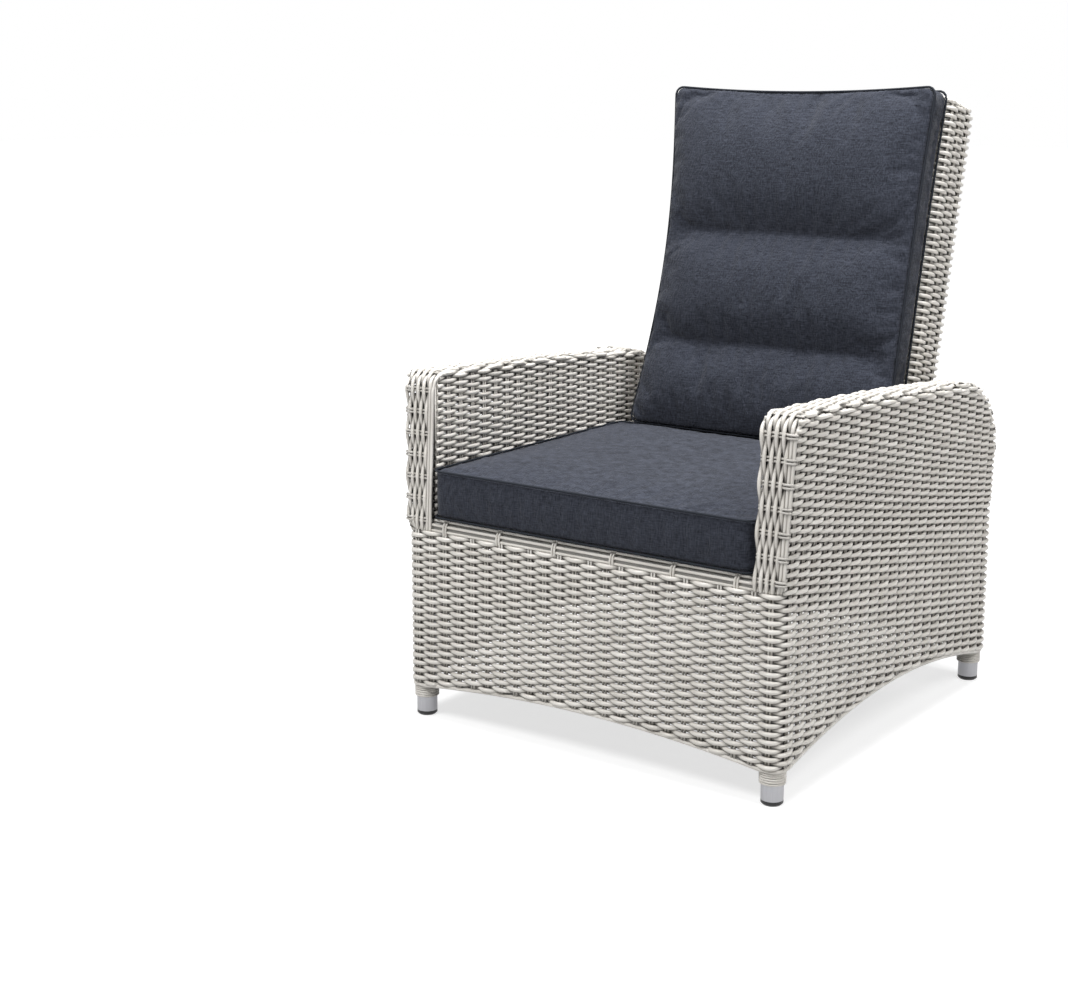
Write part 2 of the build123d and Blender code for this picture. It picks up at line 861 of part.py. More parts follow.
# Back hoops: two bent tubes inside the woven back
back_hoop_x = half_back_width - weave_wall - back_hoop_diameter / 2 - fit_gap
back_hoop_w = half_back - weave_wall - back_hoop_diameter / 2 - fit_gap
back_hoop_top = back_rise - weave_wall - back_hoop_diameter / 2 - fit_gap
back_foot = -back_tail + strand / 2
back_hoop_solids = []
for face, w in (("front", back_hoop_w), ("rear", -back_hoop_w)):
    with BuildLine(back_plane.offset(w)) as route:
        FilletPolyline(
            (-back_hoop_x, back_foot),
            (-back_hoop_x, back_hoop_top),
            (back_hoop_x, back_hoop_top),
            (back_hoop_x, back_foot),
            radius=back_hoop_bend,
        )
    back_hoop_solids.append(bent_tube(route.line, back_hoop_diameter))
    with BuildPart() as back_hoop:
        add(bent_tube(route.line, back_hoop_diameter, back_hoop_diameter - back_hoop_wall * 2))
    save(back_hoop, f"back_hoop_{face}")

# Pivot plates join the two hoops at the hinge, round the torsion tube
with BuildPart() as pivot_plates:
    for sign in (1, -1):
        centre = back_plane.from_local_coords(Vector(sign * back_hoop_x, 0, 0))
        with BuildSketch(Plane(centre, x_dir=back_plane.z_dir, z_dir=(1, 0, 0))):
            Rectangle(back_hoop_w * 2, back_tail * 2 - strand * 2)
            Circle(torsion_diameter / 2, mode=Mode.SUBTRACT)
        extrude(amount=pivot_plate_thickness / 2, both=True)
    for hoop in back_hoop_solids:
        add(hoop, mode=Mode.SUBTRACT)
save(pivot_plates, "back_pivot_plates")

# Rungs of the back: short ties from front hoop to rear hoop, and long ones across the back
side_rung_shares = [0.25, 0.5, 0.75]
cross_rung_shares = [0.35, 0.65]
top_rung_share = 0.45
with BuildPart() as back_rungs:
    places = [(s * back_hoop_x, v * back_rise) for s in (1, -1) for v in side_rung_shares]
    places += [(s * back_hoop_x * top_rung_share, back_hoop_top) for s in (1, -1)]
    with BuildSketch(back_plane.offset(-back_hoop_w)):
        with Locations(*places):
            Circle(back_rung_diameter / 2)
    extrude(amount=back_hoop_w * 2)
    for v in cross_rung_shares:
        for w in (back_hoop_w, -back_hoop_w):
            level = back_plane.offset(w)
            start = level.from_local_coords(Vector(-back_hoop_x, v * back_rise, 0))
            end = level.from_local_coords(Vector(back_hoop_x, v * back_rise, 0))
            add(rod_between(start, end, back_rung_diameter))
    for hoop in back_hoop_solids:
        add(hoop, mode=Mode.SUBTRACT)
save(back_rungs, "back_rungs")

# Grooves between the woven rows of the back's rear and sides
back_pitch = (back_rise + back_tail) / back_rows
top_groove = back_rise - back_edge_radius
groove_rises = [back_pitch * row - back_tail for row in range(1, back_rows)]
groove_rises = [rise for rise in groove_rises if rise < top_groove]
side_grooves = []
for sign in (1, -1):
    groove_face = Plane(
        origin=(sign * (back_width / 2 - row_depth), hinge_y, hinge_height),
        x_dir=back_plane.z_dir * -sign,
        z_dir=(sign, 0, 0),
    )
    side_grooves.append(row_grooves(groove_face, edge_run * 2, groove_rises, overrun))
rear_plane = back_plane.offset(row_depth - half_back)
rear_grooves = row_grooves(rear_plane, back_width - back_edge_radius * 2, groove_rises, -overrun)

# Woven back: a rounded box over the hoops, open below
with BuildPart() as back_weave:
    with BuildSketch(back_plane):
        with BuildLine():
            Polyline(
                (-half_back_width, -back_tail),
                (-half_back_width, back_rise),
                (half_back_width, back_rise),
                (half_back_width, -back_tail),
                close=True,
            )
        make_face()
    extrude(amount=half_back, both=True)
    upright = [edge for edge in back_weave.edges() if abs((edge % 0).dot(back_plane.z_dir)) > 0.9]
    fillet(
        [edge for edge in upright if back_plane.to_local_coords(edge @ 0).Y > 0],
        back_corner_radius,
    )
    rim = [
        edge
        for edge in back_weave.edges()
        if abs((edge % 0).dot(back_plane.z_dir)) < 0.1
        and back_plane.to_local_coords(edge @ 0.5).Y > 0
    ]
    fillet(rim, back_edge_radius)
    with BuildSketch(back_plane):
        with BuildLine():
            hollow = FilletPolyline(
                (-half_back_width + weave_wall, -back_tail - overrun),
                (-half_back_width + weave_wall, back_rise - weave_wall),
                (half_back_width - weave_wall, back_rise - weave_wall),
                (half_back_width - weave_wall, -back_tail - overrun),
                radius=back_corner_radius - weave_wall,
            )
            Line(hollow @ 1, hollow @ 0)
        make_face()
    extrude(amount=half_back - weave_wall, both=True, mode=Mode.SUBTRACT)
    boss_way = rod_between(
        (-overall_width, hinge_y, hinge_height),
        (overall_width, hinge_y, hinge_height),
        torsion_bore + fit_gap * 2,
    )
    for cutter in (boss_way, rear_grooves, *side_grooves):
        add(cutter, mode=Mode.SUBTRACT)
save(back_weave, "back_weave")

# Crank: two cheeks on the torsion tube, square to the spring at the middle of the travel
crank_tilt = recline_angle / 2
crank_y = hinge_y + crank_radius * sin(radians(crank_tilt))
crank_z = hinge_height - crank_radius * cos(radians(crank_tilt))
crank_turn = Vector(0, crank_y - hinge_y, crank_z - hinge_height).normalized()
crank_side = Vector(0, -crank_turn.Z, crank_turn.Y)


def crank_point(along, aside):
    """A point of the cheek, from the hinge towards the crank pin and to one side."""
    place = crank_turn * along + crank_side * aside
    return (hinge_y + place.Y, hinge_height + place.Z)


with BuildPart() as spring_crank:
    for x in (crank_spacing / 2, -crank_spacing / 2 - crank_thickness):
        with BuildSketch(Plane.YZ.offset(x)):
            with BuildLine():
                ThreePointArc(
                    crank_point(0, crank_boss_radius),
                    crank_point(-crank_boss_radius, 0),
                    crank_point(0, -crank_boss_radius),
                )
                Line(crank_point(0, -crank_boss_radius), crank_point(crank_radius, -crank_tip_radius))
                ThreePointArc(
                    crank_point(crank_radius, -crank_tip_radius),
                    crank_point(crank_radius + crank_tip_radius, 0),
                    crank_point(crank_radius, crank_tip_radius),
                )
                Line(crank_point(crank_radius, crank_tip_radius), crank_point(0, crank_boss_radius))
            make_face()
            with Locations((hinge_y, hinge_height)):
                Circle(torsion_diameter / 2, mode=Mode.SUBTRACT)
            with Locations((crank_y, crank_z)):
                Circle(crank_pin_diameter / 2, mode=Mode.SUBTRACT)
        extrude(amount=crank_thickness)
save(spring_crank, "spring_crank")

# Crank pin through both cheeks
pin_half = crank_spacing / 2 + crank_thickness + strand / 2
with BuildPart() as crank_pin:
    add(rod_between((-pin_half, crank_y, crank_z), (pin_half, crank_y, crank_z), crank_pin_diameter))
save(crank_pin, "crank_pin")

# Gas spring: its axis lies midway between the highest and lowest place of the crank pin
spring_z = hinge_height - crank_radius * (1 + cos(radians(crank_tilt))) / 2
cylinder_rear = crank_y - eye_reach
cylinder_front = cylinder_rear - cylinder_length
cylinder_bore = cylinder_diameter - cylinder_wall * 2
with BuildPart() as gas_cylinder:
    add(rod_between((0, cylinder_front, spring_z), (0, cylinder_rear, spring_z), cylinder_diameter))
    chamfer(gas_cylinder.edges().filter_by(GeomType.CIRCLE), cylinder_wall / 2)
    add(
        rod_between(
            (-eye_width / 2, crank_y, spring_z),
            (eye_width / 2, crank_y, spring_z),
            eye_diameter,
        )
    )
    add(
        block(
            (-eye_width / 2, cylinder_rear - cylinder_wall, spring_z - eye_width / 2),
            (eye_width / 2, crank_y, spring_z + eye_width / 2),
        )
    )
    add(
        rod_between(
            (-eye_width, crank_y, spring_z),
            (eye_width, crank_y, spring_z),
            eye_bore,
        ),
        mode=Mode.SUBTRACT,
    )
    add(
        rod_between(
            (0, cylinder_front + cylinder_guide, spring_z),
            (0, cylinder_rear - cylinder_end, spring_z),
            cylinder_bore,
        ),
        mode=Mode.SUBTRACT,
    )
    add(
        rod_between(
            (0, cylinder_front - overrun, spring_z),
            (0, cylinder_front + overrun, spring_z),
            rod_diameter + rod_play * 2,
        ),
        mode=Mode.SUBTRACT,
    )
save(gas_cylinder, "gas_cylinder")

# Clevis: two ears on a cross tube hold the front of the spring
spring_tube_rear = front_y + spring_tube_from_front + spring_tube_size
clevis_y = spring_tube_rear + clevis_reach
spring_tube_low = spring_z - spring_tube_size / 2
with BuildPart() as spring_cross_tube:
    add(
        square_tube(
            (-side_rail_inner_x, spring_tube_rear - spring_tube_size, spring_tube_low),
            (side_rail_inner_x, spring_tube_rear, spring_tube_low + spring_tube_size),
            rail_wall,
            "x",
        )
    )
save(spring_cross_tube, "spring_cross_tube")

ear_gap = head_width / 2 + fit_gap
with BuildPart() as spring_clevis:
    for x in (ear_gap, -ear_gap - clevis_thickness):
        with BuildSketch(Plane.YZ.offset(x)):
            with BuildLine():
                Polyline(
                    (clevis_y, spring_z + head_nose),
                    (spring_tube_rear, spring_z + head_nose),
                    (spring_tube_rear, spring_z - head_nose),
                    (clevis_y, spring_z - head_nose),
                )
                ThreePointArc(
                    (clevis_y, spring_z - head_nose),
                    (clevis_y + head_nose, spring_z),
                    (clevis_y, spring_z + head_nose),
                )
            make_face()
            with Locations((clevis_y, spring_z)):
                Circle(clevis_pin_diameter / 2, mode=Mode.SUBTRACT)
        extrude(amount=clevis_thickness)
    add(
        block(
            (-ear_gap, spring_tube_rear, spring_z - head_nose),
            (ear_gap, spring_tube_rear + clevis_thickness, spring_z + head_nose),
        )
    )
save(spring_clevis, "spring_clevis")

clevis_pin_half = ear_gap + clevis_thickness + strand / 2
with BuildPart() as clevis_pin:
    add(
        rod_between(
            (-clevis_pin_half, clevis_y, spring_z),
            (clevis_pin_half, clevis_y, spring_z),
            clevis_pin_diameter,
        )
    )
save(clevis_pin, "clevis_pin")

# Release head: holds the rod's front end, the release lever and the cable's end
head_rear = clevis_y + head_length
rod_front = head_rear - rod_seat
slot_front = clevis_y + slot_front_margin
lever_y = rod_front - release_pin_proud - head_lever_radius - fit_gap
lever_z = spring_z + head_lever_arm
slot_half = head_lever_thickness / 2 + fit_gap
cable_z = lever_z + head_lever_rise - head_lever_radius
with BuildPart() as release_head:
    with BuildSketch(Plane.YZ.offset(-head_width / 2)):
        with BuildLine():
            Polyline(
                (clevis_y, spring_z + head_nose),
                (head_rear, spring_z + head_nose),
                (head_rear, spring_z - head_nose),
                (clevis_y, spring_z - head_nose),
            )
            ThreePointArc(
                (clevis_y, spring_z - head_nose),
                (clevis_y - head_nose, spring_z),
                (clevis_y, spring_z + head_nose),
            )
        make_face()
        with Locations((lever_y, lever_z)):
            Circle(head_lever_pin_diameter / 2, mode=Mode.SUBTRACT)
    extrude(amount=head_width)
    add(
        block(
            (-slot_half, slot_front, spring_z - head_height),
            (slot_half, rod_front, spring_z + head_height),
        ),
        mode=Mode.SUBTRACT,
    )
    add(
        rod_between((0, rod_front, spring_z), (0, head_rear + overrun, spring_z), rod_diameter),
        mode=Mode.SUBTRACT,
    )
    add(
        block(
            (-head_width / 2, clevis_y, spring_z),
            (head_width / 2, clevis_y + clevis_thickness, cable_z + cable_diameter),
        )
    )
    add(
        rod_between(
            (0, clevis_y - overrun, cable_z),
            (0, clevis_y + overrun, cable_z),
            cable_diameter / 2,
        ),
        mode=Mode.SUBTRACT,
    )
    add(
        rod_between(
            (-head_width, clevis_y, spring_z),
            (head_width, clevis_y, spring_z),
            clevis_pin_diameter,
        ),
        mode=Mode.SUBTRACT,
    )
save(release_head, "release_head")

with BuildPart() as head_lever_pin:
    add(
        rod_between(
            (-head_width / 2, lever_y, lever_z),
            (head_width / 2, lever_y, lever_z),
            head_lever_pin_diameter,
        )
    )
save(head_lever_pin, "head_lever_pin")

# Release lever: a small bell crank that pushes the release pin
lever_half = head_lever_thickness / 2
lever_tip_z = spring_z - head_lever_radius / 2
with BuildPart() as head_lever:
    with BuildSketch(Plane.YZ.offset(-lever_half)) as lever_side:
        with BuildLine():
            Polyline(
                (lever_y - head_lever_radius, lever_tip_z),
                (lever_y + head_lever_radius, lever_tip_z),
                (lever_y + head_lever_radius, lever_z + head_lever_rise),
                (lever_y - head_lever_radius, lever_z + head_lever_rise),
                close=True,
            )
        make_face()
        fillet(lever_side.vertices(), head_lever_radius / 2)
        with Locations((lever_y, lever_z)):
            Circle(head_lever_pin_diameter / 2 + bush_play, mode=Mode.SUBTRACT)
    extrude(amount=head_lever_thickness)
save(head_lever, "head_lever")

# Rod with its piston, bored at the front for the release pin
piston_front = cylinder_front + cylinder_guide + piston_from_front
pin_bore = release_pin_diameter + release_pin_play * 2
with BuildPart() as gas_rod:
    add(rod_between((0, rod_front, spring_z), (0, piston_front, spring_z), rod_diameter))
    add(
        rod_between(
            (0, piston_front, spring_z),
            (0, piston_front + piston_length, spring_z),
            cylinder_bore - rod_play * 2,
        )
    )
    add(
        rod_between(
            (0, rod_front - overrun, spring_z),
            (0, rod_front + release_pin_length, spring_z),
            pin_bore,
        ),
        mode=Mode.SUBTRACT,
    )
save(gas_rod, "gas_rod")

pin_front = rod_front - release_pin_proud
pin_rear = rod_front + release_pin_length - release_pin_proud
with BuildPart() as release_pin:
    add(rod_between((0, pin_front, spring_z), (0, pin_rear, spring_z), release_pin_diameter))
save(release_pin, "release_pin")

# Handle bar: an upright flat bar inside the left arm, from the side rail to the inner hoop
bar_x = hoop_inner_x
bar_far_x = bar_x + handle_bar_thickness
stop_z = handle_height - stop_drop
stop_y = handle_y - horn_length
spindle_bore = spindle_diameter + spindle_play * 2
with BuildPart() as handle_bar:
    add(
        block(
            (bar_x, handle_y - handle_bar_width / 2, side_rail_top),
            (bar_far_x, handle_y + handle_bar_width / 2, arm_height),
        )
    )
    add(
        block(
            (bar_x, stop_y - horn_width / 2, stop_z - stop_thickness),
            (bar_far_x + horn_thickness * 2, handle_y, stop_z),
        )
    )
    add(
        rod_between((bar_x, handle_y, handle_height), (bar_far_x, handle_y, handle_height), spindle_bore),
        mode=Mode.SUBTRACT,
    )
    add(
        block(
            (inner_face_x, front_y, arm_height - weave_wall * 2 - hoop_diameter / 2),
            (half_width, rear_y, arm_height + overrun),
        ),
        mode=Mode.SUBTRACT,
    )
    add(hoop_solids[0], mode=Mode.SUBTRACT)
save(handle_bar, "handle_bar")

# Recline handle: a spindle through the bar and the woven wall, a paddle and a horn for the cable
paddle_x = inner_face_x - bezel_thickness - handle_stand_off
horn_x = bar_far_x + fit_gap
paddle_tip_y = handle_y - handle_length
with BuildPart() as recline_handle:
    with BuildSketch(Plane.YZ.offset(paddle_x - handle_thickness)) as paddle:
        with BuildLine():
            Polyline(
                (handle_y, handle_height + handle_grip_depth),
                (paddle_tip_y, handle_height + handle_tip_width / 2),
                (paddle_tip_y, handle_height - handle_tip_width / 2),
                (handle_y, handle_height - handle_grip_depth),
            )
            ThreePointArc(
                (handle_y, handle_height - handle_grip_depth),
                (handle_y + handle_grip_depth, handle_height),
                (handle_y, handle_height + handle_grip_depth),
            )
        make_face()
        fillet(paddle.vertices().sort_by(Axis.Y)[:2], handle_tip_width / 3)
    extrude(amount=handle_thickness)
    chamfer(recline_handle.edges().filter_by(Plane.YZ), handle_thickness / 3)
    add(
        rod_between(
            (paddle_x - handle_thickness / 2, handle_y, handle_height),
            (horn_x + horn_thickness, handle_y, handle_height),
            spindle_diameter,
        )
    )
    with BuildSketch(Plane.YZ.offset(horn_x)):
        with BuildLine():
            Polyline(
                (handle_y, handle_height + horn_width / 2),
                (stop_y, handle_height + horn_width / 2),
                (stop_y, handle_height - horn_width / 2),
                (handle_y, handle_height - horn_width / 2),
                close=True,
            )
        make_face()
        with Locations((stop_y, handle_height), (handle_y, handle_height)):
            Circle(horn_width / 2)
    extrude(amount=horn_thickness)
save(recline_handle, "recline_handle")

# Bezel: an oval plate on the woven wall round the spindle
with BuildPart() as handle_bezel:
    with BuildSketch(Plane.YZ.offset(inner_face_x - bezel_thickness)):
        with Locations((handle_y, handle_height)):
            SlotOverall(bezel_length, bezel_width)
            Circle(spindle_diameter / 2 + bush_wall, mode=Mode.SUBTRACT)
    extrude(amount=bezel_thickness)
    outer_rim = handle_bezel.faces().sort_by(Axis.X)[0].outer_wire().edges()
    chamfer(outer_rim, bezel_thickness / 2)
save(handle_bezel, "handle_bezel")

# Release cable: one bend at the spring, one under the seat and one up into the arm
cable_arm_x = horn_x + horn_thickness / 2
cable_rail_z = deck_top + cable_over_rail + cable_diameter / 2
cable_corners = [
    (0, clevis_y, cable_z),
    (0, front_y + cable_turn_from_front, cable_z),
    (inner_face_x - cable_turn_inset, stop_y, cable_z),
    (cable_arm_x, stop_y, cable_rail_z),
    (cable_arm_x, stop_y, stop_z - stop_thickness),
]
cable_bends = [cable_bend_at_spring, cable_bend_under_seat, cable_bend_at_arm]
with BuildPart() as release_cable:
    with BuildLine() as cable_route:
        FilletPolyline(*cable_corners, radius=cable_bends)
    add(bent_tube(cable_route.line, cable_diameter))
save(release_cable, "release_cable")
cable_length = cable_route.wires()[0].length
print("cable bend radii", cable_bends, "length", round(cable_length, 1))
print("cable section", round(release_cable.part.volume / cable_length, 3))

# Cushions: each is carried through rounded outlines, drawn in at half its height and crowned on top
def pillow(base, width, length, levels):
    """A padded form through rounded outlines, each at its own level and inset from the full size."""
    with BuildPart() as body:
        for level, inset in levels:
            with BuildSketch(base.offset(level)):
                RectangleRounded(width - inset * 2, length - inset * 2, cushion_corner)
        loft(ruled=True)
    return body.part


# Seat cushion: a crowned block between the arms
seat_length = seat_rear - seat_front
seat_base = Plane(origin=(0, front_y + (seat_front + seat_rear) / 2, seat_bottom_height))
with BuildPart() as seat_cushion:
    seat_levels = [
        (0, 0),
        (seat_thickness / 2, seat_draw_in),
        (seat_thickness, 0),
        (seat_thickness + seat_crown * crown_shoulder_share, crown_slope),
        (seat_thickness + seat_crown, crown_slope * crown_top_ratio),
    ]
    add(pillow(seat_base, seat_width, seat_length, seat_levels))
save(seat_cushion, "seat_cushion")

# Back cushion: a boxed border and three puffed sections between two sewn channels
cushion_rear_w = half_back + fit_gap
channel_level = cushion_border - cushion_channel
seams = [0, *[share * back_rise for share in channel_shares], cushion_rise]
with BuildPart() as back_cushion:
    border_base = Plane(
        origin=back_plane.from_local_coords(Vector(0, cushion_rise / 2, cushion_rear_w)),
        x_dir=(1, 0, 0),
        z_dir=back_plane.z_dir,
    )
    border_levels = [(0, 0), (cushion_border / 2, cushion_draw_in), (channel_level, 0)]
    add(pillow(border_base, cushion_width, cushion_rise, border_levels))
    for low_v, high_v in zip(seams, seams[1:]):
        puff_base = Plane(
            origin=back_plane.from_local_coords(Vector(0, (low_v + high_v) / 2, cushion_rear_w)),
            x_dir=(1, 0, 0),
            z_dir=back_plane.z_dir,
        )
        puff_levels = [
            (cushion_border / 2, cushion_draw_in * 2),
            (channel_level, cushion_draw_in / 2),
            (cushion_border + cushion_puff * crown_shoulder_share, puff_slope),
            (cushion_border + cushion_puff, puff_slope * crown_top_ratio),
        ]
        add(pillow(puff_base, cushion_width, high_v - low_v, puff_levels))
    seat_top = seat_bottom_height + seat_thickness + seat_crown
    under_cushion = block(
        (-half_width, front_y, 0),
        (half_width, rear_y + overrun, seat_top + fit_gap),
    )
    add(under_cushion, mode=Mode.SUBTRACT)
save(back_cushion, "back_cushion")
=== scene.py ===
import json
from math import cos, pi, radians, sin

import bpy
import numpy as np
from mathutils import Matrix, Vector


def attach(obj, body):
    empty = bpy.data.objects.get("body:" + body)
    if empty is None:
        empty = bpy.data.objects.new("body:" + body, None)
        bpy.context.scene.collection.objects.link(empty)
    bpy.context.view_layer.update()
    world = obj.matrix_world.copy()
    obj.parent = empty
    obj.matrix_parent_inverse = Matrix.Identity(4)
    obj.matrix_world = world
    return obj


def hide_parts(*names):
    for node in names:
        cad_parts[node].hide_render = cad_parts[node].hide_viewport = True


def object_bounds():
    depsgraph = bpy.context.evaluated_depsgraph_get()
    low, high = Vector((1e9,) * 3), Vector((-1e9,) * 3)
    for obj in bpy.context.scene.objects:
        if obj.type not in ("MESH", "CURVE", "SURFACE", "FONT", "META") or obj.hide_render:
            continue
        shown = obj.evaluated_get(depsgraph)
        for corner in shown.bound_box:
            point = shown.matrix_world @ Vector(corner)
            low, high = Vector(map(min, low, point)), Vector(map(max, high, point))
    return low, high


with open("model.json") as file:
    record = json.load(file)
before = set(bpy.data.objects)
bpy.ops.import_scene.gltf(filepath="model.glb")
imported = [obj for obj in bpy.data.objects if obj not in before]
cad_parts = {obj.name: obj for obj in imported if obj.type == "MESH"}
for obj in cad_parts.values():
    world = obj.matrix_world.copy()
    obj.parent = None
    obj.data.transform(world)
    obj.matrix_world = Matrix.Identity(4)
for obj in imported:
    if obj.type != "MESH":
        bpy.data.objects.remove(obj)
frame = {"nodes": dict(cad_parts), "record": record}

bl_info = {
    "name": "Reclining garden armchair",
    "version": (1, 0, 0),
    "blender": (4, 5, 0),
    "location": "View3D > Sidebar > Garden armchair",
    "description": "Dresses the armchair's frame with woven strand, cushions and metal finishes",
    "category": "Object",
}

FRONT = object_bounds()[0][1]
LEFT, RIGHT = 1, -1
SIDES = {"left": LEFT, "right": RIGHT}

# Main sizes of the woven frame, in metres, with y counted from the front of the skirt
SKIRT_HALF = 0.371
DEPTH = 0.801
SKIRT_TOP = 0.341
HEM = 0.055
HEM_ROLL = 0.0065
SIDE_ARCH = (0.035, 0.766, 0.045)
END_ARCH = (0.336, 0.022)
WALL_MIDDLE = 0.003
CORNER = 0.018
FRONT_SPACES, SIDE_SPACES = 12, 22
ARM_TOP = 0.617
ARM_INNER = 0.318
ARM_LEAN = 0.009
ARM_SETBACK = 0.013
ARM_FRONT_ROUND = 0.024
ARM_REAR_ROUND = 0.160
ARM_REAR_CENTRE = (0.6358, 0.4207)
ARM_REAR_LOW = 0.4305
ARM_REAR_LEAN = 0.014
ARM_REAR_TOP = 0.569
ARM_ARC_START = (0.6487, 0.5802)
ARM_EDGE_ROUND = 0.009
BAND_ROUND = 0.013
BAND_LANES = 10
FACE_TOP = 0.585
BROAD = 1.06
SKIRT_BROAD = 1.14
HINGE = (0.648, 0.392)
RAKE = radians(13.4)
LEG_X, LEG_FRONT, LEG_REAR = 0.348, 0.023, 0.778
COLLAR = 0.0196
COLLAR_TOP, COLLAR_PITCH, COLLAR_TURNS = 0.0530, 0.0041, 5

# Where the skirt's side begins, how the strands end at its arches, and the strand along its hem
SKIRT_SIDE = 0.36
TUCK_DEEP, TUCK_LONG = 0.005, 0.009
HEM_STRAND, HEM_STRAND_RISE = 0.0034, 0.0033
STAKE_FOOT = 0.004

# The arms' outer walls: how far a row reaches round the rear, low and high, and where stakes stand
REAR_REACH = (0.047, 0.010)
ARM_STAKES = (0.02, 0.79)
STAKE_SHARES = np.array([0.0, 0.33, 0.66, 1.0])
ARM_STAKE_DROP = 0.006
REAR_STAKES = (0.012, 0.016)

# The arms' inner walls: rows hidden under the cushion, the first stake, the pitch and the foot
HIDDEN_ROWS = 4
INNER_INSET = 0.011
INNER_FIRST, INNER_PITCH, INNER_LAST = 0.006, 0.0333, 0.775
INNER_FOOT, INNER_DROP = 0.3665, 0.001

# The arms' fronts and tops: two outer lanes lie still on the front, and the foot tucks under the wall
EDGE_LANES = 2
BAND_EDGES = (0.0022, 0.0005)
EDGE_SPACE, EDGE_PITCH = 0.0120, 0.0058
FACE_BLEND = 0.025
BAND_SINK_SHARE = 0.75
BAND_TUCK, BAND_TUCK_HIGH, BAND_TUCK_WIDE = 0.008, 0.035, 0.018
STILL_HEIGHT = 0.0012
BAND_PITCH = 0.0376
BAND_STAKES = (0.0015, 0.004)
BAND_WAVE_SHARE, FRONT_THICK_SHARE, TOP_THICKER_SHARE = 0.8, 0.88, 0.10
OVER_HIGH, OVER_FROM, OVER_RISE, OVER_FALL = 0.0050, 0.019, 0.005, 0.004
FRONT_ONLY = 0.1

# Windings: the seat rails' height, half length and radius, and the strands and ties on them
RAIL_INSET = 0.0185
RAIL_HEIGHT, RAIL_RADIUS, RAIL_HALF = 0.346, 0.0125, 0.3165
RAIL_LANES, RAIL_STRAND, RAIL_LIFT = 10, 0.0025, 0.0027
TIE_SPACING, TIE_RADIUS, TIE_LIFT, TIE_SQUEEZE, TIE_REACH = 0.115, 0.0021, 0.0050, 0.0006, 0.008

# Points along a strand of each wall
BELT_POINTS, ARM_POINTS, INNER_POINTS, BAND_POINTS, BACK_POINTS, TOP_POINTS = 253, 178, 160, 300, 240, 120


# Meshes


def mesh_object(name, points, faces, material, point_values=None):
    """One object from an array of points and a list of face arrays, all with their own corner counts."""
    mesh = bpy.data.meshes.new(name)
    mesh.vertices.add(len(points))
    mesh.vertices.foreach_set("co", np.asarray(points, np.float32).ravel())
    counts = np.concatenate([np.full(len(f), f.shape[1]) for f in faces])
    corners = np.concatenate([f.ravel() for f in faces])
    mesh.loops.add(len(corners))
    mesh.loops.foreach_set("vertex_index", corners.astype(np.int32))
    mesh.polygons.add(len(counts))
    starts = np.concatenate([[0], np.cumsum(counts)[:-1]])
    mesh.polygons.foreach_set("loop_start", starts.astype(np.int32))
    mesh.update(calc_edges=True)
    mesh.polygons.foreach_set("use_smooth", np.ones(len(counts), bool))
    for key, values in (point_values or {}).items():
        mesh.attributes.new(key, "FLOAT", "POINT").data.foreach_set(
            "value", np.asarray(values, np.float32)
        )
    mesh.materials.append(material)
    thing = bpy.data.objects.new(name, mesh)
    bpy.context.scene.collection.objects.link(thing)
    return thing


def unit(vectors):
    """Vectors scaled to length one."""
    return vectors / np.maximum(np.linalg.norm(vectors, axis=-1, keepdims=True), 1e-9)


def triples(x, y, z):
    """Points or directions from three arrays that go together."""
    return np.stack(np.broadcast_arrays(x, y, z), axis=-1)


def facing(x, y, z, points):
    """One direction for every point."""
    return np.broadcast_to(np.array([x, y, z], float), points.shape)


def between(here, there):
    """Four-cornered faces between neighbouring rings, given as arrays whose last axis goes round."""
    corners = [here, np.roll(here, -1, axis=-1), np.roll(there, -1, axis=-1), there]
    return np.stack(corners, axis=-1).reshape(-1, 4)


def tubes(centres, normals, radius, sides=6, closed=False, seed=0, broad=1.0, rise=0.4):
    """Strands: rings of points about each centre line, in the plane square to the line.

    centres and normals are arrays of strands x samples x 3. Each ring point is the centre plus the
    radius times cos(a) across the line, times broad, and the radius times sin(a) along the surface
    normal. rise tells how far a strand stands out of its wall, and the material paints shade on what lies
    low.
    """
    centres = np.asarray(centres, float)
    normals = np.broadcast_to(np.asarray(normals, float), centres.shape)
    count, samples = centres.shape[:2]
    if closed:
        tangents = np.roll(centres, -1, axis=1) - np.roll(centres, 1, axis=1)
    else:
        tangents = np.gradient(centres, axis=1)
    tangents = unit(tangents)
    across = unit(np.cross(tangents, normals))
    upward = np.cross(across, tangents)
    radius = np.broadcast_to(np.asarray(radius, float), (count, samples))[..., None, None]
    turn = np.arange(sides) * 2 * pi / sides
    wide = broad * np.cos(turn)[:, None] * across[..., None, :]
    ring = wide + np.sin(turn)[:, None] * upward[..., None, :]
    points = (centres[..., None, :] + radius * ring).reshape(-1, 3)
    index = np.arange(count * samples * sides).reshape(count, samples, sides)
    steps = np.roll(index, -1, axis=1) if closed else index[:, 1:]
    here = index if closed else index[:, :-1]
    quads = between(here, steps)[:, [0, 3, 2, 1]]
    caps = np.zeros((0, sides), int)
    if not closed:
        caps = np.concatenate([index[:, 0], index[:, -1, ::-1]])
    length = np.linalg.norm(np.diff(centres, axis=1), axis=2)
    along = np.concatenate([np.zeros((count, 1)), np.cumsum(length, axis=1)], axis=1)
    along = along + np.random.default_rng(seed).uniform(0, 5, (count, 1))
    tone = np.random.default_rng(seed + 1).uniform(0, 1, (count, 1)) + np.zeros((count, samples))
    # Painted shade: rise falls on the underside of each ring, so the material paints each strand's
    # underside darker.
    risen = np.broadcast_to(rise, (count, samples))[..., None] + 0.4 * np.sin(turn)
    along, tone = (np.repeat(value.ravel(), sides) for value in (along, tone))
    return points, quads, caps, along, tone, risen.ravel()


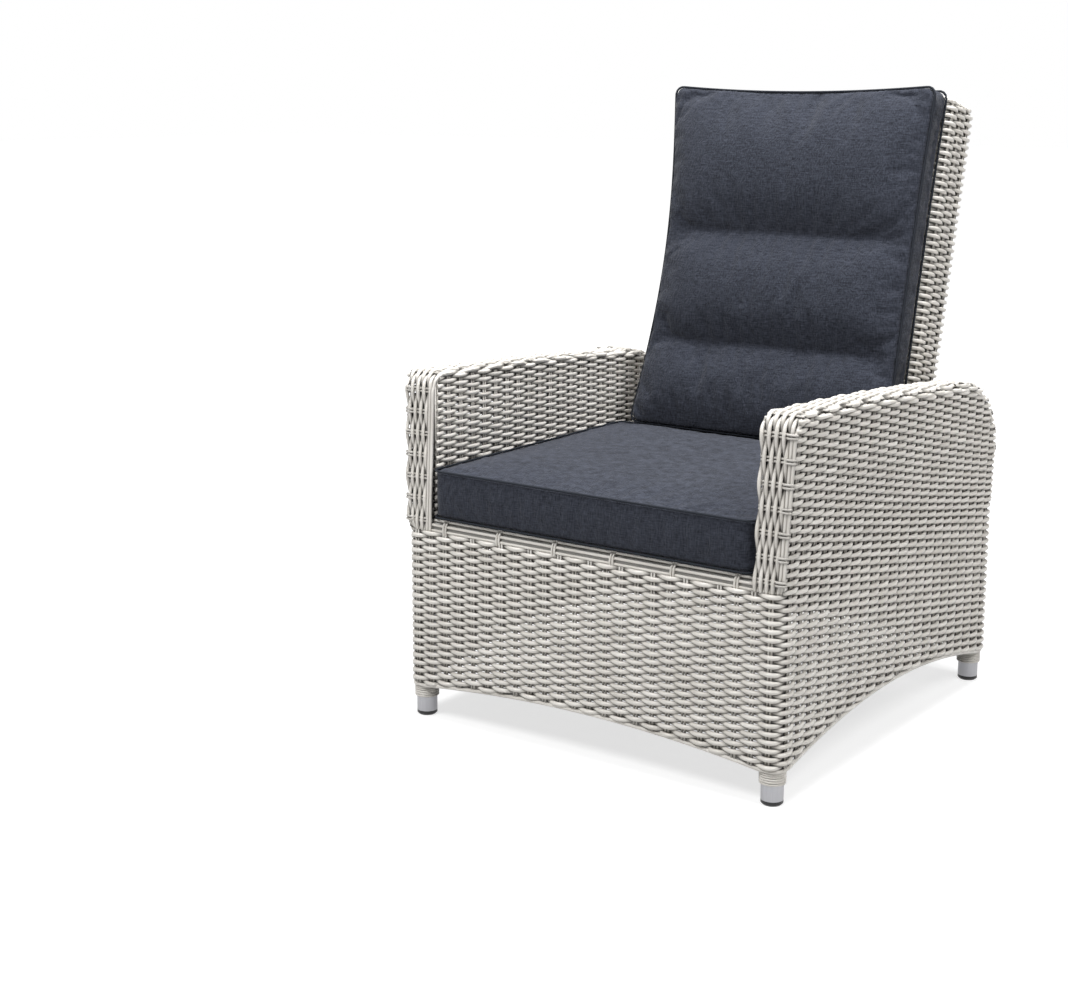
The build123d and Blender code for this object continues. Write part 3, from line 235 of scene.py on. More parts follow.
def strand_piece(name, bundles, material, body, *nodes):
    """Joins bundles of strands in one object that stands for some of the frame's nodes."""
    points, quads, caps, base = [], [], {}, 0
    for bundle in bundles:
        points.append(bundle[0])
        quads.append(bundle[1] + base)
        if len(bundle[2]):
            caps.setdefault(bundle[2].shape[1], []).append(bundle[2] + base)
        base += len(bundle[0])
    points = np.concatenate(points)
    points[:, 1] += FRONT
    faces = [np.concatenate(quads)] + [np.concatenate(c) for c in caps.values()]
    kinds = {"along": 3, "tone": 4, "rise": 5}
    values = {key: np.concatenate([bundle[place] for bundle in bundles]) for key, place in kinds.items()}
    thing = mesh_object(name, points, faces, finish(material), values)
    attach(thing, body)
    if nodes:
        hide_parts(*nodes)
    return thing


# Woven skirt, arms, rails and legs


def settings():
    """The sizes and colours of the panel."""
    return bpy.context.scene.garden_armchair


def weft_wave(phase, rows):
    """Height of a weft above the wall's middle: a cosine that peaks over every other pair of stakes."""
    return settings().wave * np.cos(pi * (phase - 0.5) + pi * rows)


def weft_radius(height):
    """A weft swells where it lies over the stakes and thins where it dives."""
    return settings().strand / 2 * (1.0 + 0.08 * height / settings().wave)


def wave_strands(points, normals, height, thick=1.0, seed=0, broad=BROAD):
    """Strands that rise and dive by height along the normals of a wall."""
    radius = weft_radius(height) * thick
    # Painted shade: a weft is painted darker where it dives behind the stakes.
    rise = 0.6 * height / settings().wave
    lifted = points + normals * height[..., None]
    return tubes(lifted, normals, radius, 7, seed=seed, broad=broad, rise=rise)


def wefts(points, normals, phase, rows, seed=0, broad=BROAD):
    """Strands woven over and under the stakes of a wall."""
    return wave_strands(points, normals, weft_wave(phase, rows), seed=seed, broad=broad)


def stake_pairs(centres, normals, aside, seed=0):
    """Two straight stakes side by side at each place."""
    radius = settings().stake / 2
    gap = settings().stake_gap / 2
    pair = np.concatenate([centres - aside * gap, centres + aside * gap])
    both = np.concatenate([normals, normals])
    # Painted shade: stakes count as lying low, so they are painted a little darker.
    return tubes(pair, both, radius, 6, seed=seed, rise=-0.1)


def belt_point(u):
    """The skirt's outline in plan, by the distance from the middle of the front."""
    far = np.abs(u)
    half = SKIRT_HALF - WALL_MIDDLE
    straight = half - CORNER
    turn = np.clip((far - straight) / CORNER, 0, pi / 2)
    beyond = np.maximum(far - straight - CORNER * pi / 2, 0)
    x = np.minimum(far, straight) + CORNER * np.sin(turn)
    y = WALL_MIDDLE + CORNER * (1 - np.cos(turn)) + beyond
    normal = np.stack([np.sin(turn) * np.sign(u), -np.cos(turn)], axis=-1)
    return x * np.sign(u), y, normal


def belt_phase(u):
    """Counts stake spaces from the middle of the front: twelve to the corner, then as on the side."""
    corner = SKIRT_HALF - WALL_MIDDLE - CORNER + CORNER * pi / 4
    far = np.abs(u)
    side = DEPTH - 2 * (WALL_MIDDLE + CORNER) + CORNER * pi / 2
    on_side = FRONT_SPACES + (far - corner) / side * SIDE_SPACES
    phase = np.where(far < corner, far / corner * FRONT_SPACES, on_side)
    return phase * np.sign(u)


def hem_height(x, y):
    """The hem's arches between the legs: parabolas on the sides and on the ends."""
    low, high, rise = SIDE_ARCH
    on_side = 1 - ((y - (low + high) / 2) / ((high - low) / 2)) ** 2
    on_end = 1 - (x / END_ARCH[0]) ** 2
    side_rise, end_rise = rise * np.clip(on_side, 0, 1), END_ARCH[1] * np.clip(on_end, 0, 1)
    return HEM + np.where(np.abs(x) > SKIRT_SIDE, side_rise, end_rise)


def belt_runs(reach):
    """Start, end, row and cut ends of each strand of the skirt: level rows that stop at the arches."""
    rows = settings().belt_rows
    row = np.arange(1, rows)
    above = (row + 0.5) / rows * (SKIRT_TOP - HEM) - HEM_ROLL
    low, high, rise = SIDE_ARCH
    reach_y = (low + high) / 2 - (high - low) / 2 * np.sqrt(1 - np.clip(above / rise, 0, 1))
    side_end = reach - DEPTH / 2 + reach_y
    front_end = END_ARCH[0] * np.sqrt(1 - np.clip(above / END_ARCH[1], 0, 1))
    side_cut, front_cut = above < rise, above < END_ARCH[1]
    whole = ~front_cut
    start = np.concatenate([-side_end[whole], -side_end[front_cut], front_end[front_cut]])
    end = np.concatenate([side_end[whole], -front_end[front_cut], side_end[front_cut]])
    order = np.concatenate([row[whole], row[front_cut], row[front_cut]])
    cut = np.concatenate([side_cut[whole], side_cut[front_cut], side_cut[front_cut]])
    return start[:, None], end[:, None], order[:, None], cut[:, None]


def belt(name, mirrored, *nodes):
    """Half of the skirt's weave: round the front, or mirrored round the rear, from side to side."""
    corner = SKIRT_HALF - WALL_MIDDLE - CORNER
    reach = corner + CORNER * pi / 2 + DEPTH / 2 - WALL_MIDDLE - CORNER
    rows = settings().belt_rows
    start, end, row, cut = belt_runs(reach)
    u = start + np.linspace(0, 1, BELT_POINTS)[None, :] * (end - start)
    x, y, plan_normal = belt_point(u)
    z = HEM + (row + 0.5) / rows * (SKIRT_TOP - HEM)
    points = triples(x, y, z)
    normals = triples(plan_normal[..., 0], plan_normal[..., 1], 0.0)
    from_end = np.minimum(u - start, end - u)
    tuck = TUCK_DEEP * np.clip(1 - from_end / TUCK_LONG, 0, 1) ** 2 * cut
    points = points - normals * tuck[..., None]
    phase = belt_phase(u)

    marks = np.linspace(-reach, reach, 4001)
    spaces = FRONT_SPACES + SIDE_SPACES / 2
    stake_phase = np.arange(0.5 - spaces, spaces)
    at = np.interp(stake_phase, belt_phase(marks), marks)[:, None]
    sx, sy, sn = belt_point(at)
    ends = np.array([0.0, 1.0])[None, :]
    bottom = hem_height(sx, sy)
    sz = bottom + STAKE_FOOT + ends * (SKIRT_TOP - STAKE_FOOT - bottom)
    stakes = triples(sx, sy, sz)
    stake_normals = np.broadcast_to(triples(sn[..., 0], sn[..., 1], 0.0), stakes.shape)
    aside = triples(-stake_normals[..., 1], stake_normals[..., 0], 0.0)
    around = np.linspace(-reach, reach, BELT_POINTS)[None, :]
    rx, ry, roll_plan = belt_point(around)
    roll = triples(rx, ry, hem_height(rx, ry) + HEM_STRAND_RISE)
    roll_normals = triples(roll_plan[..., 0], roll_plan[..., 1], 0.0)
    if mirrored:
        flip = np.array([1, -1, 1])
        shift_back = np.array([0, DEPTH, 0])
        points, stakes, roll = (spots * flip + shift_back for spots in (points, stakes, roll))
        normals, stake_normals, aside, roll_normals = (
            way * flip for way in (normals, stake_normals, aside, roll_normals)
        )
    shift = 1 if mirrored else 0
    bundles = [
        wefts(points, normals, phase, row + shift, seed=shift * 7 + 3, broad=SKIRT_BROAD),
        tubes(roll, roll_normals, HEM_STRAND, 7, seed=shift * 7 + 5),
        stake_pairs(stakes, stake_normals, aside, seed=shift * 7 + 4),
    ]
    return strand_piece(name, bundles, "Woven strand", "base", *nodes)


def arm_top(y):
    """The arm's top line: a shallow parabola that falls to the rear."""
    run = y - ARM_SETBACK
    return ARM_TOP - 0.021806 * run - 0.05195 * run**2


def arm_front(z):
    """The arm's front line leans back, and rounds into the top."""
    lean = ARM_SETBACK * (z - SKIRT_TOP) / (ARM_TOP - SKIRT_TOP)
    over = np.clip(z - (ARM_TOP - ARM_FRONT_ROUND), 0, ARM_FRONT_ROUND)
    return lean + ARM_FRONT_ROUND - np.sqrt(ARM_FRONT_ROUND**2 - over**2)


def arm_rear(z):
    """The arm's rear line: leaning below, and a large arc above."""
    straight = DEPTH - ARM_REAR_LEAN * (z - SKIRT_TOP) / (ARM_REAR_TOP - SKIRT_TOP)
    rise = np.clip(z - ARM_REAR_CENTRE[1], 0, ARM_REAR_ROUND)
    arc = ARM_REAR_CENTRE[0] + np.sqrt(ARM_REAR_ROUND**2 - rise**2)
    return np.where(z < ARM_REAR_LOW, straight, arc)


def arm_outer(z):
    """The middle of the arm's outer wall leans out to the top."""
    return SKIRT_HALF - WALL_MIDDLE + ARM_LEAN * (z - SKIRT_TOP) / (ARM_TOP - SKIRT_TOP)


def arm_rows(share, y):
    """Rows of an arm's wall run level at the skirt and follow the top line above."""
    return SKIRT_TOP + share * (arm_top(y) - SKIRT_TOP)


def arm_crest(y):
    """The height of the arm's outline over a place: the top line, and behind it the rear arc."""
    across = np.clip(ARM_REAR_ROUND**2 - (y - ARM_REAR_CENTRE[0]) ** 2, 0, 1)
    return np.where(y > ARM_ARC_START[0], ARM_REAR_CENTRE[1] + np.sqrt(across), arm_top(y))


def arm_row_ends(share):
    """Where each row of an arm's wall starts at the front line and ends at the rear line."""
    rear = np.full_like(share, DEPTH)
    for _ in range(25):
        rear = arm_rear(arm_rows(share, rear))
    return arm_front(arm_rows(share, 0.0 * share)), rear


def side_panel(name, side, *nodes):
    """The outer wall of an arm: wefts that wrap round its front edge and its rear edge."""
    rows = settings().arm_rows
    share = ((np.arange(rows) + 0.5) / rows)[:, None]
    inset = WALL_MIDDLE
    turn_radius = 0.006
    stub = -0.0052
    front, rear = arm_row_ends(share)
    rear_z = arm_rows(share, rear)
    rear_reach = np.where(rear_z < ARM_REAR_LOW, *REAR_REACH)
    start, end = front + inset + turn_radius, rear - inset - turn_radius
    bend = turn_radius * pi / 2
    length = stub + bend + (end - start) + bend + rear_reach
    way = np.linspace(0, 1, ARM_POINTS)[None, :] * length
    first = np.clip((way - stub) / bend, 0, 1) * pi / 2
    last = np.clip((way - stub - bend - (end - start)) / bend, 0, 1) * pi / 2
    side_run = np.clip(way - stub - bend, 0, end - start)
    y = start + side_run - turn_radius * np.cos(first) + turn_radius * np.sin(last)
    z = arm_rows(share, y)
    back_run = np.clip(way - stub - 2 * bend - (end - start), 0, None)
    front_run = np.clip(stub - way, 0, None)
    below_top = np.clip(arm_top(y) - z, 0, ARM_EDGE_ROUND)
    rounding = ARM_EDGE_ROUND - np.sqrt(ARM_EDGE_ROUND**2 - (ARM_EDGE_ROUND - below_top) ** 2)
    x = arm_outer(z) - turn_radius * (1 - np.sin(first)) - turn_radius * (1 - np.cos(last))
    x = x - front_run - back_run - rounding
    rear_up = np.clip((rear_z - ARM_REAR_CENTRE[1]) / ARM_REAR_ROUND, 0, 1)
    nx = np.sin(first) * np.cos(last)
    ny = -np.cos(first) + np.sin(last) * np.sqrt(1 - rear_up**2)
    nz = np.sin(last) * rear_up
    points = triples(x * side, y, z)
    normals = unit(triples(nx * side, ny, nz))
    step = (DEPTH - 2 * (WALL_MIDDLE + CORNER) + CORNER * pi / 2) / SIDE_SPACES
    zero = WALL_MIDDLE + CORNER - CORNER * pi / 4
    distance = front + inset + (way - stub - bend * 0.5)
    phase = FRONT_SPACES + (distance - zero) / step
    row = np.arange(rows)[:, None] + settings().belt_rows

    at = zero + step * (np.arange(SIDE_SPACES) + 0.5)
    at = at[(at > ARM_STAKES[0]) & (at < ARM_STAKES[1])][:, None]
    sz = SKIRT_TOP + STAKE_SHARES[None, :] * (arm_crest(at) - ARM_STAKE_DROP - SKIRT_TOP)
    stakes = triples(arm_outer(sz) * side, at, sz)
    stake_normals = facing(side, 0, 0, stakes)
    aside = facing(0, 1, 0, stakes)

    rx = np.array([ARM_INNER + REAR_STAKES[0], SKIRT_HALF - REAR_STAKES[1]])[:, None]
    rz = np.array([SKIRT_TOP, ARM_REAR_LOW])[None, :]
    rear_stakes = triples(rx * side, arm_rear(rz) - inset, rz)
    rear_normals = facing(0, 1, 0, rear_stakes)
    rear_aside = facing(1, 0, 0, rear_stakes)
    bundles = [
        wefts(points, normals, phase, row, seed=11 + side),
        stake_pairs(stakes, stake_normals, aside, seed=13 + side),
        stake_pairs(rear_stakes, rear_normals, rear_aside, seed=15 + side),
    ]
    return strand_piece(name, bundles, "Woven strand", "base", *nodes)


def inner_panel(name, side, *nodes):
    """The arm's wall beside the cushions."""
    rows = settings().arm_rows
    share = ((np.arange(HIDDEN_ROWS, rows) + 0.5) / rows)[:, None]
    front, rear = arm_row_ends(share)
    reach = rear - front - 2 * INNER_INSET
    y = (front + INNER_INSET) + np.linspace(0, 1, INNER_POINTS)[None, :] * reach
    z = arm_rows(share, y) - INNER_DROP
    x = (ARM_INNER + WALL_MIDDLE) * side
    points = triples(x, y, z)
    normals = facing(-side, 0, 0, points)
    phase = (y - INNER_FIRST) / INNER_PITCH
    row = np.arange(HIDDEN_ROWS, rows)[:, None]
    at = INNER_FIRST + INNER_PITCH * (np.arange(0, 24) + 0.5)
    at = at[at < INNER_LAST][:, None]
    ends = np.array([0.0, 1.0])[None, :]
    sz = INNER_FOOT + ends * (arm_crest(at) - INNER_INSET - INNER_FOOT)
    stakes = triples(x, at, sz)
    stake_normals = facing(-side, 0, 0, stakes)
    aside = facing(0, 1, 0, stakes)
    bundles = [
        wefts(points, normals, phase, row, seed=21 + side),
        stake_pairs(stakes, stake_normals, aside, seed=23 + side),
    ]
    return strand_piece(name, bundles, "Woven strand", "base", *nodes)


def band_outline():
    """The arm's outline in the side view, from the rail over the front and the top to the rear."""
    z = np.linspace(SKIRT_TOP, ARM_TOP - ARM_FRONT_ROUND, 40)
    front = np.stack([ARM_SETBACK * (z - SKIRT_TOP) / (ARM_TOP - SKIRT_TOP), z], axis=-1)
    turn = np.linspace(0, pi / 2, 20)[1:]
    centre = np.array([front[-1, 0] + ARM_FRONT_ROUND, z[-1]])
    lift = arm_top(centre[0]) - ARM_FRONT_ROUND - centre[1]
    corner = centre + np.stack(
        [-ARM_FRONT_ROUND * np.cos(turn), ARM_FRONT_ROUND * np.sin(turn) + lift * np.sin(turn)], axis=-1
    )
    y = np.linspace(centre[0], ARM_ARC_START[0], 60)[1:]
    top = np.stack([y, arm_top(y)], axis=-1)
    first = np.arctan2(ARM_ARC_START[1] - ARM_REAR_CENTRE[1], ARM_ARC_START[0] - ARM_REAR_CENTRE[0])
    fall = np.linspace(first, -0.02, 60)[1:]
    rear = np.array(ARM_REAR_CENTRE) + ARM_REAR_ROUND * np.stack([np.cos(fall), np.sin(fall)], axis=-1)
    return np.concatenate([front, corner, top, rear])


def band(name, side, *nodes):
    """The arm's front face and top: strands along it, over pairs of stakes across it.

    Each strand follows the arm's side outline at its own place across the arm. Near an edge of the top
    it sinks along a quarter circle. On the front the two outermost strands lie still, and the stakes
    pass over them.
    """
    outline = band_outline()
    run = unit(np.gradient(outline, axis=0))
    out = np.stack([-run[:, 1], run[:, 0]], axis=-1)
    middle = outline - out * WALL_MIDDLE
    length = np.concatenate([[0], np.cumsum(np.linalg.norm(np.diff(middle, axis=0), axis=1))])
    way = np.linspace(0, length[-1], BAND_POINTS)
    y, z = np.interp(way, length, middle[:, 0]), np.interp(way, length, middle[:, 1])
    oy, oz = np.interp(way, length, out[:, 0]), np.interp(way, length, out[:, 1])
    count = BAND_LANES
    lane = np.arange(count)[:, None]
    woven_lanes = count - EDGE_LANES
    outer = arm_outer(z)[None, :] + BAND_EDGES[1]
    inner = ARM_INNER + BAND_EDGES[0]
    woven = inner + lane / (woven_lanes - 1) * (outer - EDGE_SPACE - inner)
    edge = outer - (count - 1 - lane) * EDGE_PITCH
    x = np.where(lane < woven_lanes, woven, edge)
    on_top = np.clip((z - FACE_TOP) / FACE_BLEND, 0, 1)[None, :]
    on_top = np.maximum(on_top, (y > FRONT_ONLY)[None, :])
    spread = inner + lane / (count - 1) * (outer - inner)
    x = x * (1 - on_top) + spread * on_top
    if side == RIGHT:
        x = inner + outer - x
    from_edge = np.minimum(outer - x, x - inner + 0.002)
    round_in = np.clip(BAND_ROUND - from_edge, 0, BAND_ROUND)
    sink = (BAND_ROUND - np.sqrt(BAND_ROUND**2 - round_in**2)) * on_top * BAND_SINK_SHARE
    still = np.where(lane >= woven_lanes, on_top, 1.0)
    low_end = np.clip((SKIRT_TOP + BAND_TUCK_HIGH - z) / BAND_TUCK_HIGH, 0, 1) ** 2 * (y < FRONT_ONLY)
    tucked = np.clip(1 - (outer - x) / BAND_TUCK_WIDE, 0, 1) * low_end
    x = x - BAND_TUCK * tucked
    points = triples(x * side, y - oy * sink + BAND_TUCK * tucked, z - oz * sink)
    lean = np.where(outer - x < x - inner, 1, -1) * round_in / BAND_ROUND * on_top * side
    normals = unit(triples(lean, oy, oz))
    phase = (way / BAND_PITCH)[None, :]
    height = (weft_wave(phase, lane) * still + (1 - still) * STILL_HEIGHT) * BAND_WAVE_SHARE
    thick = FRONT_THICK_SHARE + TOP_THICKER_SHARE * on_top
    strands = wave_strands(points, normals, height, thick, seed=31 + side)
    at = np.arange(0.5, way[-1] / BAND_PITCH)[:, None] * BAND_PITCH
    cy, cz = np.interp(at, way, y), np.interp(at, way, z)
    cn = triples(0.0, np.interp(at, way, oy), np.interp(at, way, oz))
    reach = np.linspace(0, 1, 40)[None, :]
    low_x, high_x = ARM_INNER + BAND_STAKES[0], arm_outer(cz) + BAND_STAKES[1]
    cx = low_x + reach * (high_x - low_x)
    to_end = high_x - cx
    up, down = np.clip((OVER_FROM - to_end) / OVER_RISE, 0, 1), np.clip(to_end / OVER_FALL, 0, 1)
    over = OVER_HIGH * (up * down) * (cz < FACE_TOP)
    across = triples(cx * side, cy, cz) + cn * over[..., None]
    across_normals = np.broadcast_to(cn, across.shape)
    along = np.broadcast_to(np.cross(cn, np.array([1.0, 0, 0])), across.shape)
    bundles = [strands, stake_pairs(across, across_normals, along, seed=33 + side)]
    return strand_piece(name, bundles, "Woven strand", "base", *nodes)


def rail_wrap(name, y, *nodes):
    """Strands laid along a seat rail, tied down with turns of strand.

    A laid strand is a line at a fixed angle round the rail, and a bell curve draws it in at each tie.
    """
    turn = np.arange(RAIL_LANES)[:, None] * 2 * pi / RAIL_LANES + 0.2
    x = np.linspace(-RAIL_HALF, RAIL_HALF, 60)[None, :]
    from_tie = np.abs(((x / TIE_SPACING) % 1) - 0.5) * TIE_SPACING
    radius = RAIL_RADIUS + RAIL_LIFT - TIE_SQUEEZE * np.exp(-((from_tie / TIE_REACH) ** 2))
    points = triples(x, y + radius * np.cos(turn), RAIL_HEIGHT + radius * np.sin(turn))
    normals = np.broadcast_to(triples(0.0, np.cos(turn), np.sin(turn)), points.shape)
    laid = tubes(points, normals, RAIL_STRAND, 7, seed=41)
    places = (np.arange(-3, 3) + 0.5) * TIE_SPACING
    centre = np.concatenate([places - RAIL_STRAND, places + RAIL_STRAND])[:, None]
    spin = np.linspace(0, 2 * pi, 24, endpoint=False)[None, :]
    wind = RAIL_RADIUS + TIE_LIFT
    rings = triples(centre, y + wind * np.cos(spin), RAIL_HEIGHT + wind * np.sin(spin))
    ring_normals = np.broadcast_to(triples(0.0, np.cos(spin), np.sin(spin)), rings.shape)
    ties = tubes(rings, ring_normals, TIE_RADIUS, 6, closed=True, seed=43)
    return strand_piece(name, [laid, ties], "Woven strand", "base", *nodes)


def leg_collars(*nodes):
    """Turns of strand wound round each leg where the weave ends."""
    bundles = []
    spin = np.linspace(0, 2 * pi, 36, endpoint=False)[None, :]
    levels = (COLLAR_TOP - COLLAR_PITCH * np.arange(COLLAR_TURNS))[:, None]
    for x in (-LEG_X, LEG_X):
        for y in (LEG_FRONT, LEG_REAR):
            rings = triples(x + COLLAR * np.cos(spin), y + COLLAR * np.sin(spin), levels)
            out = np.broadcast_to(triples(np.cos(spin), np.sin(spin), 0.0), rings.shape)
            seed = int(1000 * (x + y)) + 900
            bundles.append(tubes(rings, out, TIE_RADIUS, 7, closed=True, seed=seed))
    return strand_piece("leg_collar_turns", bundles, "Woven strand", "base", *nodes)


# Woven back


BACK_HALF, BACK_DEEP, BACK_RISE, BACK_TAIL = 0.275, 0.052, 0.698, 0.030
BACK_EDGE, BACK_CORNER = 0.014, 0.024
BACK_ROWS, LOWER_ROWS = 107, 54
BACK_SPACES = 34
BACK_STAKE_DROP = 0.016
TOP_LANES, TOP_INSET, TOP_CROWN = 12, 0.0135, 0.0035
TOP_BEND_SHARE = 0.72
TOP_PITCH, TOP_STAKES, TOP_STAKE_INSET = 0.0365, 14, 0.008


def back_place(u, v, w):
    """From the back's own directions (across, up the back, out of its front) to the chair's."""
    return triples(
        u, HINGE[0] + v * sin(RAKE) - w * cos(RAKE), HINGE[1] + v * cos(RAKE) + w * sin(RAKE)
    )


def back_turn(u, v, w):
    """A direction, turned the same way."""
    return triples(u, v * sin(RAKE) - w * cos(RAKE), v * cos(RAKE) + w * sin(RAKE))


def back_ring(way, half, deep, corner):
    """A rounded rectangle in plan by the share of its length, starting at the middle of the rear."""
    straight_u, straight_w = half - corner, deep - corner
    arc = corner * pi / 2
    side = [arc, 2 * straight_w, arc]
    parts = [straight_u, *side, 2 * straight_u, *side, straight_u]
    edges = np.concatenate([[0 * half], np.cumsum(np.stack(np.broadcast_arrays(*parts)), axis=0)])
    at = way * edges[-1]
    run = [np.clip(at - edges[i], 0, edges[i + 1] - edges[i]) for i in range(9)]
    a1, a2, a3, a4 = (run[i] / corner for i in (1, 3, 5, 7))
    u = run[0] + corner * np.sin(a1) - corner * (1 - np.cos(a2)) - run[4]
    u = u - corner * np.sin(a3) + corner * (1 - np.cos(a4)) + run[8]
    w = -deep + corner * (1 - np.cos(a1)) + run[2] + corner * np.sin(a2)
    w = w - corner * (1 - np.cos(a3)) - run[6] - corner * np.sin(a4)
    angle = a1 + a2 + a3 + a4
    return u, w, np.sin(angle), -np.cos(angle)


def back_half_width(v):
    """The back's outline narrows round its top corners."""
    over = np.clip(v - (BACK_RISE - BACK_CORNER), 0, BACK_CORNER - 0.0005)
    return BACK_HALF - BACK_CORNER + np.sqrt(BACK_CORNER**2 - over**2)


def back_wall(name, low, high, count, first_row, *nodes):
    """Rows of weft round the back, over upright pairs of stakes.

    A row is a rounded rectangle in the back's own directions. Its half width follows the top corners'
    quarter circles, and its depth the rounding of the top edge.
    """
    rows = np.arange(count)[:, None]
    v = low + (rows + 0.5) / count * (high - low)
    way = np.linspace(0, 1, BACK_POINTS)[None, :]
    corner = BACK_EDGE - WALL_MIDDLE
    half = back_half_width(v) - WALL_MIDDLE
    rounding = np.clip(v - (BACK_RISE - BACK_EDGE), 0, BACK_EDGE - 0.001)
    sunk = BACK_EDGE - np.sqrt(BACK_EDGE**2 - rounding**2)
    deep = BACK_DEEP - WALL_MIDDLE - sunk
    u, w, nu, nw = back_ring(way, half, deep, corner)
    points = back_place(u, v, w)
    normals = back_turn(nu, 0 * nu, nw)
    phase = np.broadcast_to(way * BACK_SPACES, u.shape)
    strands = wefts(points, normals, phase, rows + first_row, seed=51 + first_row)
    at = ((np.arange(BACK_SPACES) + 0.5) / BACK_SPACES)[:, None]
    su, sw, snu, snw = back_ring(at, BACK_HALF - WALL_MIDDLE, BACK_DEEP - WALL_MIDDLE, corner)
    sv = np.array([low, high])[None, :]
    stakes = back_place(su, np.minimum(sv, BACK_RISE - BACK_STAKE_DROP), sw)
    stake_normals = np.broadcast_to(back_turn(snu, 0 * snu, snw), stakes.shape)
    aside = np.broadcast_to(back_turn(-snw, 0 * snu, snu), stakes.shape)
    bundles = [strands, stake_pairs(stakes, stake_normals, aside, seed=53)]
    return strand_piece(name, bundles, "Woven strand", "back", *nodes)


def back_top(name):
    """The top of the back: strands along it that bend down at the corners, over pairs across it."""
    top = BACK_RISE - WALL_MIDDLE
    lanes = np.linspace(-BACK_DEEP + TOP_INSET, BACK_DEEP - TOP_INSET, TOP_LANES)[:, None]
    radius = BACK_CORNER - WALL_MIDDLE
    straight = BACK_HALF - BACK_CORNER
    arc = radius * pi / 2 * TOP_BEND_SHARE
    total = 2 * (straight + arc)
    way = np.linspace(-total / 2, total / 2, TOP_POINTS)[None, :]
    over = np.clip(np.abs(way) - straight, 0, arc) / radius
    u = np.sign(way) * (np.minimum(np.abs(way), straight) + radius * np.sin(over))
    v = top - radius * (1 - np.cos(over))
    crown = TOP_CROWN * (np.abs(lanes) / BACK_DEEP) ** 3
    points = back_place(u, v - crown, lanes)
    normals = back_turn(np.sign(way) * np.sin(over), np.cos(over), 0 * over)
    normals = np.broadcast_to(normals, points.shape)
    phase = np.broadcast_to(way / TOP_PITCH, points.shape[:2])
    strands = wefts(points, normals, phase, np.arange(TOP_LANES)[:, None], seed=61)
    at = (np.arange(-TOP_STAKES // 2, TOP_STAKES // 2) + 0.5)[:, None] * TOP_PITCH
    ends = np.array([-BACK_DEEP + TOP_STAKE_INSET, BACK_DEEP - TOP_STAKE_INSET])[None, :]
    across = back_place(at, top, ends)
    across_normals = np.broadcast_to(back_turn(0, 1, 0), across.shape)
    aside = facing(1, 0, 0, across)
    bundles = [strands, stake_pairs(across, across_normals, aside, seed=63)]
    return strand_piece(name, bundles, "Woven strand", "back")


# Cushions


def rounded_loop(half_x, half_y, corner, count):
    """Points evenly spaced round a rounded rectangle, with their outward directions."""
    return back_ring(np.arange(count) / count, half_x, half_y, corner)


def ring_stack(rings, count):
    """The faces of a closed block made of rings of points, with a cap at each end."""
    index = np.arange(rings * count).reshape(rings, count)
    return [between(index[:-1], index[1:]), np.stack([index[0, ::-1], index[-1]])]


def slab(loop_count, rings, place):
    """A closed padded block of rings of points at levels.

    rings is a list of (inset, level) for the rounded outline of the size in place, from the middle of
    the underside round the side to the middle of the top.
    """
    half_x, half_y, corner, to_world = place
    points = []
    for inset, level in rings:
        hx, hy = half_x - inset, half_y - inset
        x, y, _, _ = rounded_loop(hx, hy, min(corner, min(hx, hy) * CORNER_SHARE), loop_count)
        points.append(to_world(x, y, np.full_like(x, level)))
    points = np.concatenate(points)
    return points, ring_stack(len(rings), loop_count)


CLOTH_FRAMES = 20


def inflate(thing, pinned, pressure, limit, stretch):
    """Lets cloth simulation fill a cushion: its seams stay where they are and its panels swell."""
    scene = bpy.context.scene
    group = thing.vertex_groups.new(name="seams")
    group.add(np.nonzero(pinned)[0].tolist(), 1.0, "REPLACE")
    cloth = thing.modifiers.new("Filling", "CLOTH")
    cloth.settings.use_pressure = True
    cloth.settings.uniform_pressure_force = pressure
    cloth.settings.effector_weights.gravity = 0
    cloth.settings.vertex_group_mass = "seams"
    cloth.settings.shrink_min = -stretch
    cloth.settings.tension_stiffness = 18
    cloth.settings.compression_stiffness = 18
    cloth.settings.bending_stiffness = 0.15
    cloth.settings.quality = 4
    cloth.point_cache.frame_start = 1
    cloth.point_cache.frame_end = CLOTH_FRAMES
    start = mesh_points(thing)
    for number in range(1, CLOTH_FRAMES + 1):
        scene.frame_set(number)
    shift = mesh_points(thing.evaluated_get(bpy.context.evaluated_depsgraph_get())) - start
    thing.modifiers.remove(cloth)
    scene.frame_set(1)
    size = np.linalg.norm(shift, axis=1, keepdims=True)
    shift = shift / np.maximum(size, 1e-9) * limit * np.tanh(size / limit)
    thing.data.vertices.foreach_set("co", (start + shift).astype(np.float32).ravel())
    thing.vertex_groups.clear()
    thing.data.update()


def finish_cushion(thing, name, body, node):
    """Names a finished cushion, puts it on its body and hides the frame's node that it stands for."""
    thing.name = name
    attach(thing, body)
    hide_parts(node)
    return thing


def remeshed(thing, voxel):
    """A copy of a closed mesh in even small faces."""
    thing.data.remesh_voxel_size = voxel
    modifier = thing.modifiers.new("Even faces", "REMESH")
    modifier.mode = "VOXEL"
    modifier.voxel_size = voxel
    evaluated = thing.evaluated_get(bpy.context.evaluated_depsgraph_get())
    mesh = bpy.data.meshes.new_from_object(evaluated)
    thing.modifiers.clear()
    thing.data = mesh
    mesh.polygons.foreach_set("use_smooth", np.ones(len(mesh.polygons), bool))
    return thing


def mesh_points(thing):
    """The places of a mesh's points."""
    co = np.zeros(len(thing.data.vertices) * 3, np.float32)
    thing.data.vertices.foreach_get("co", co)
    return co.reshape(-1, 3).astype(float)


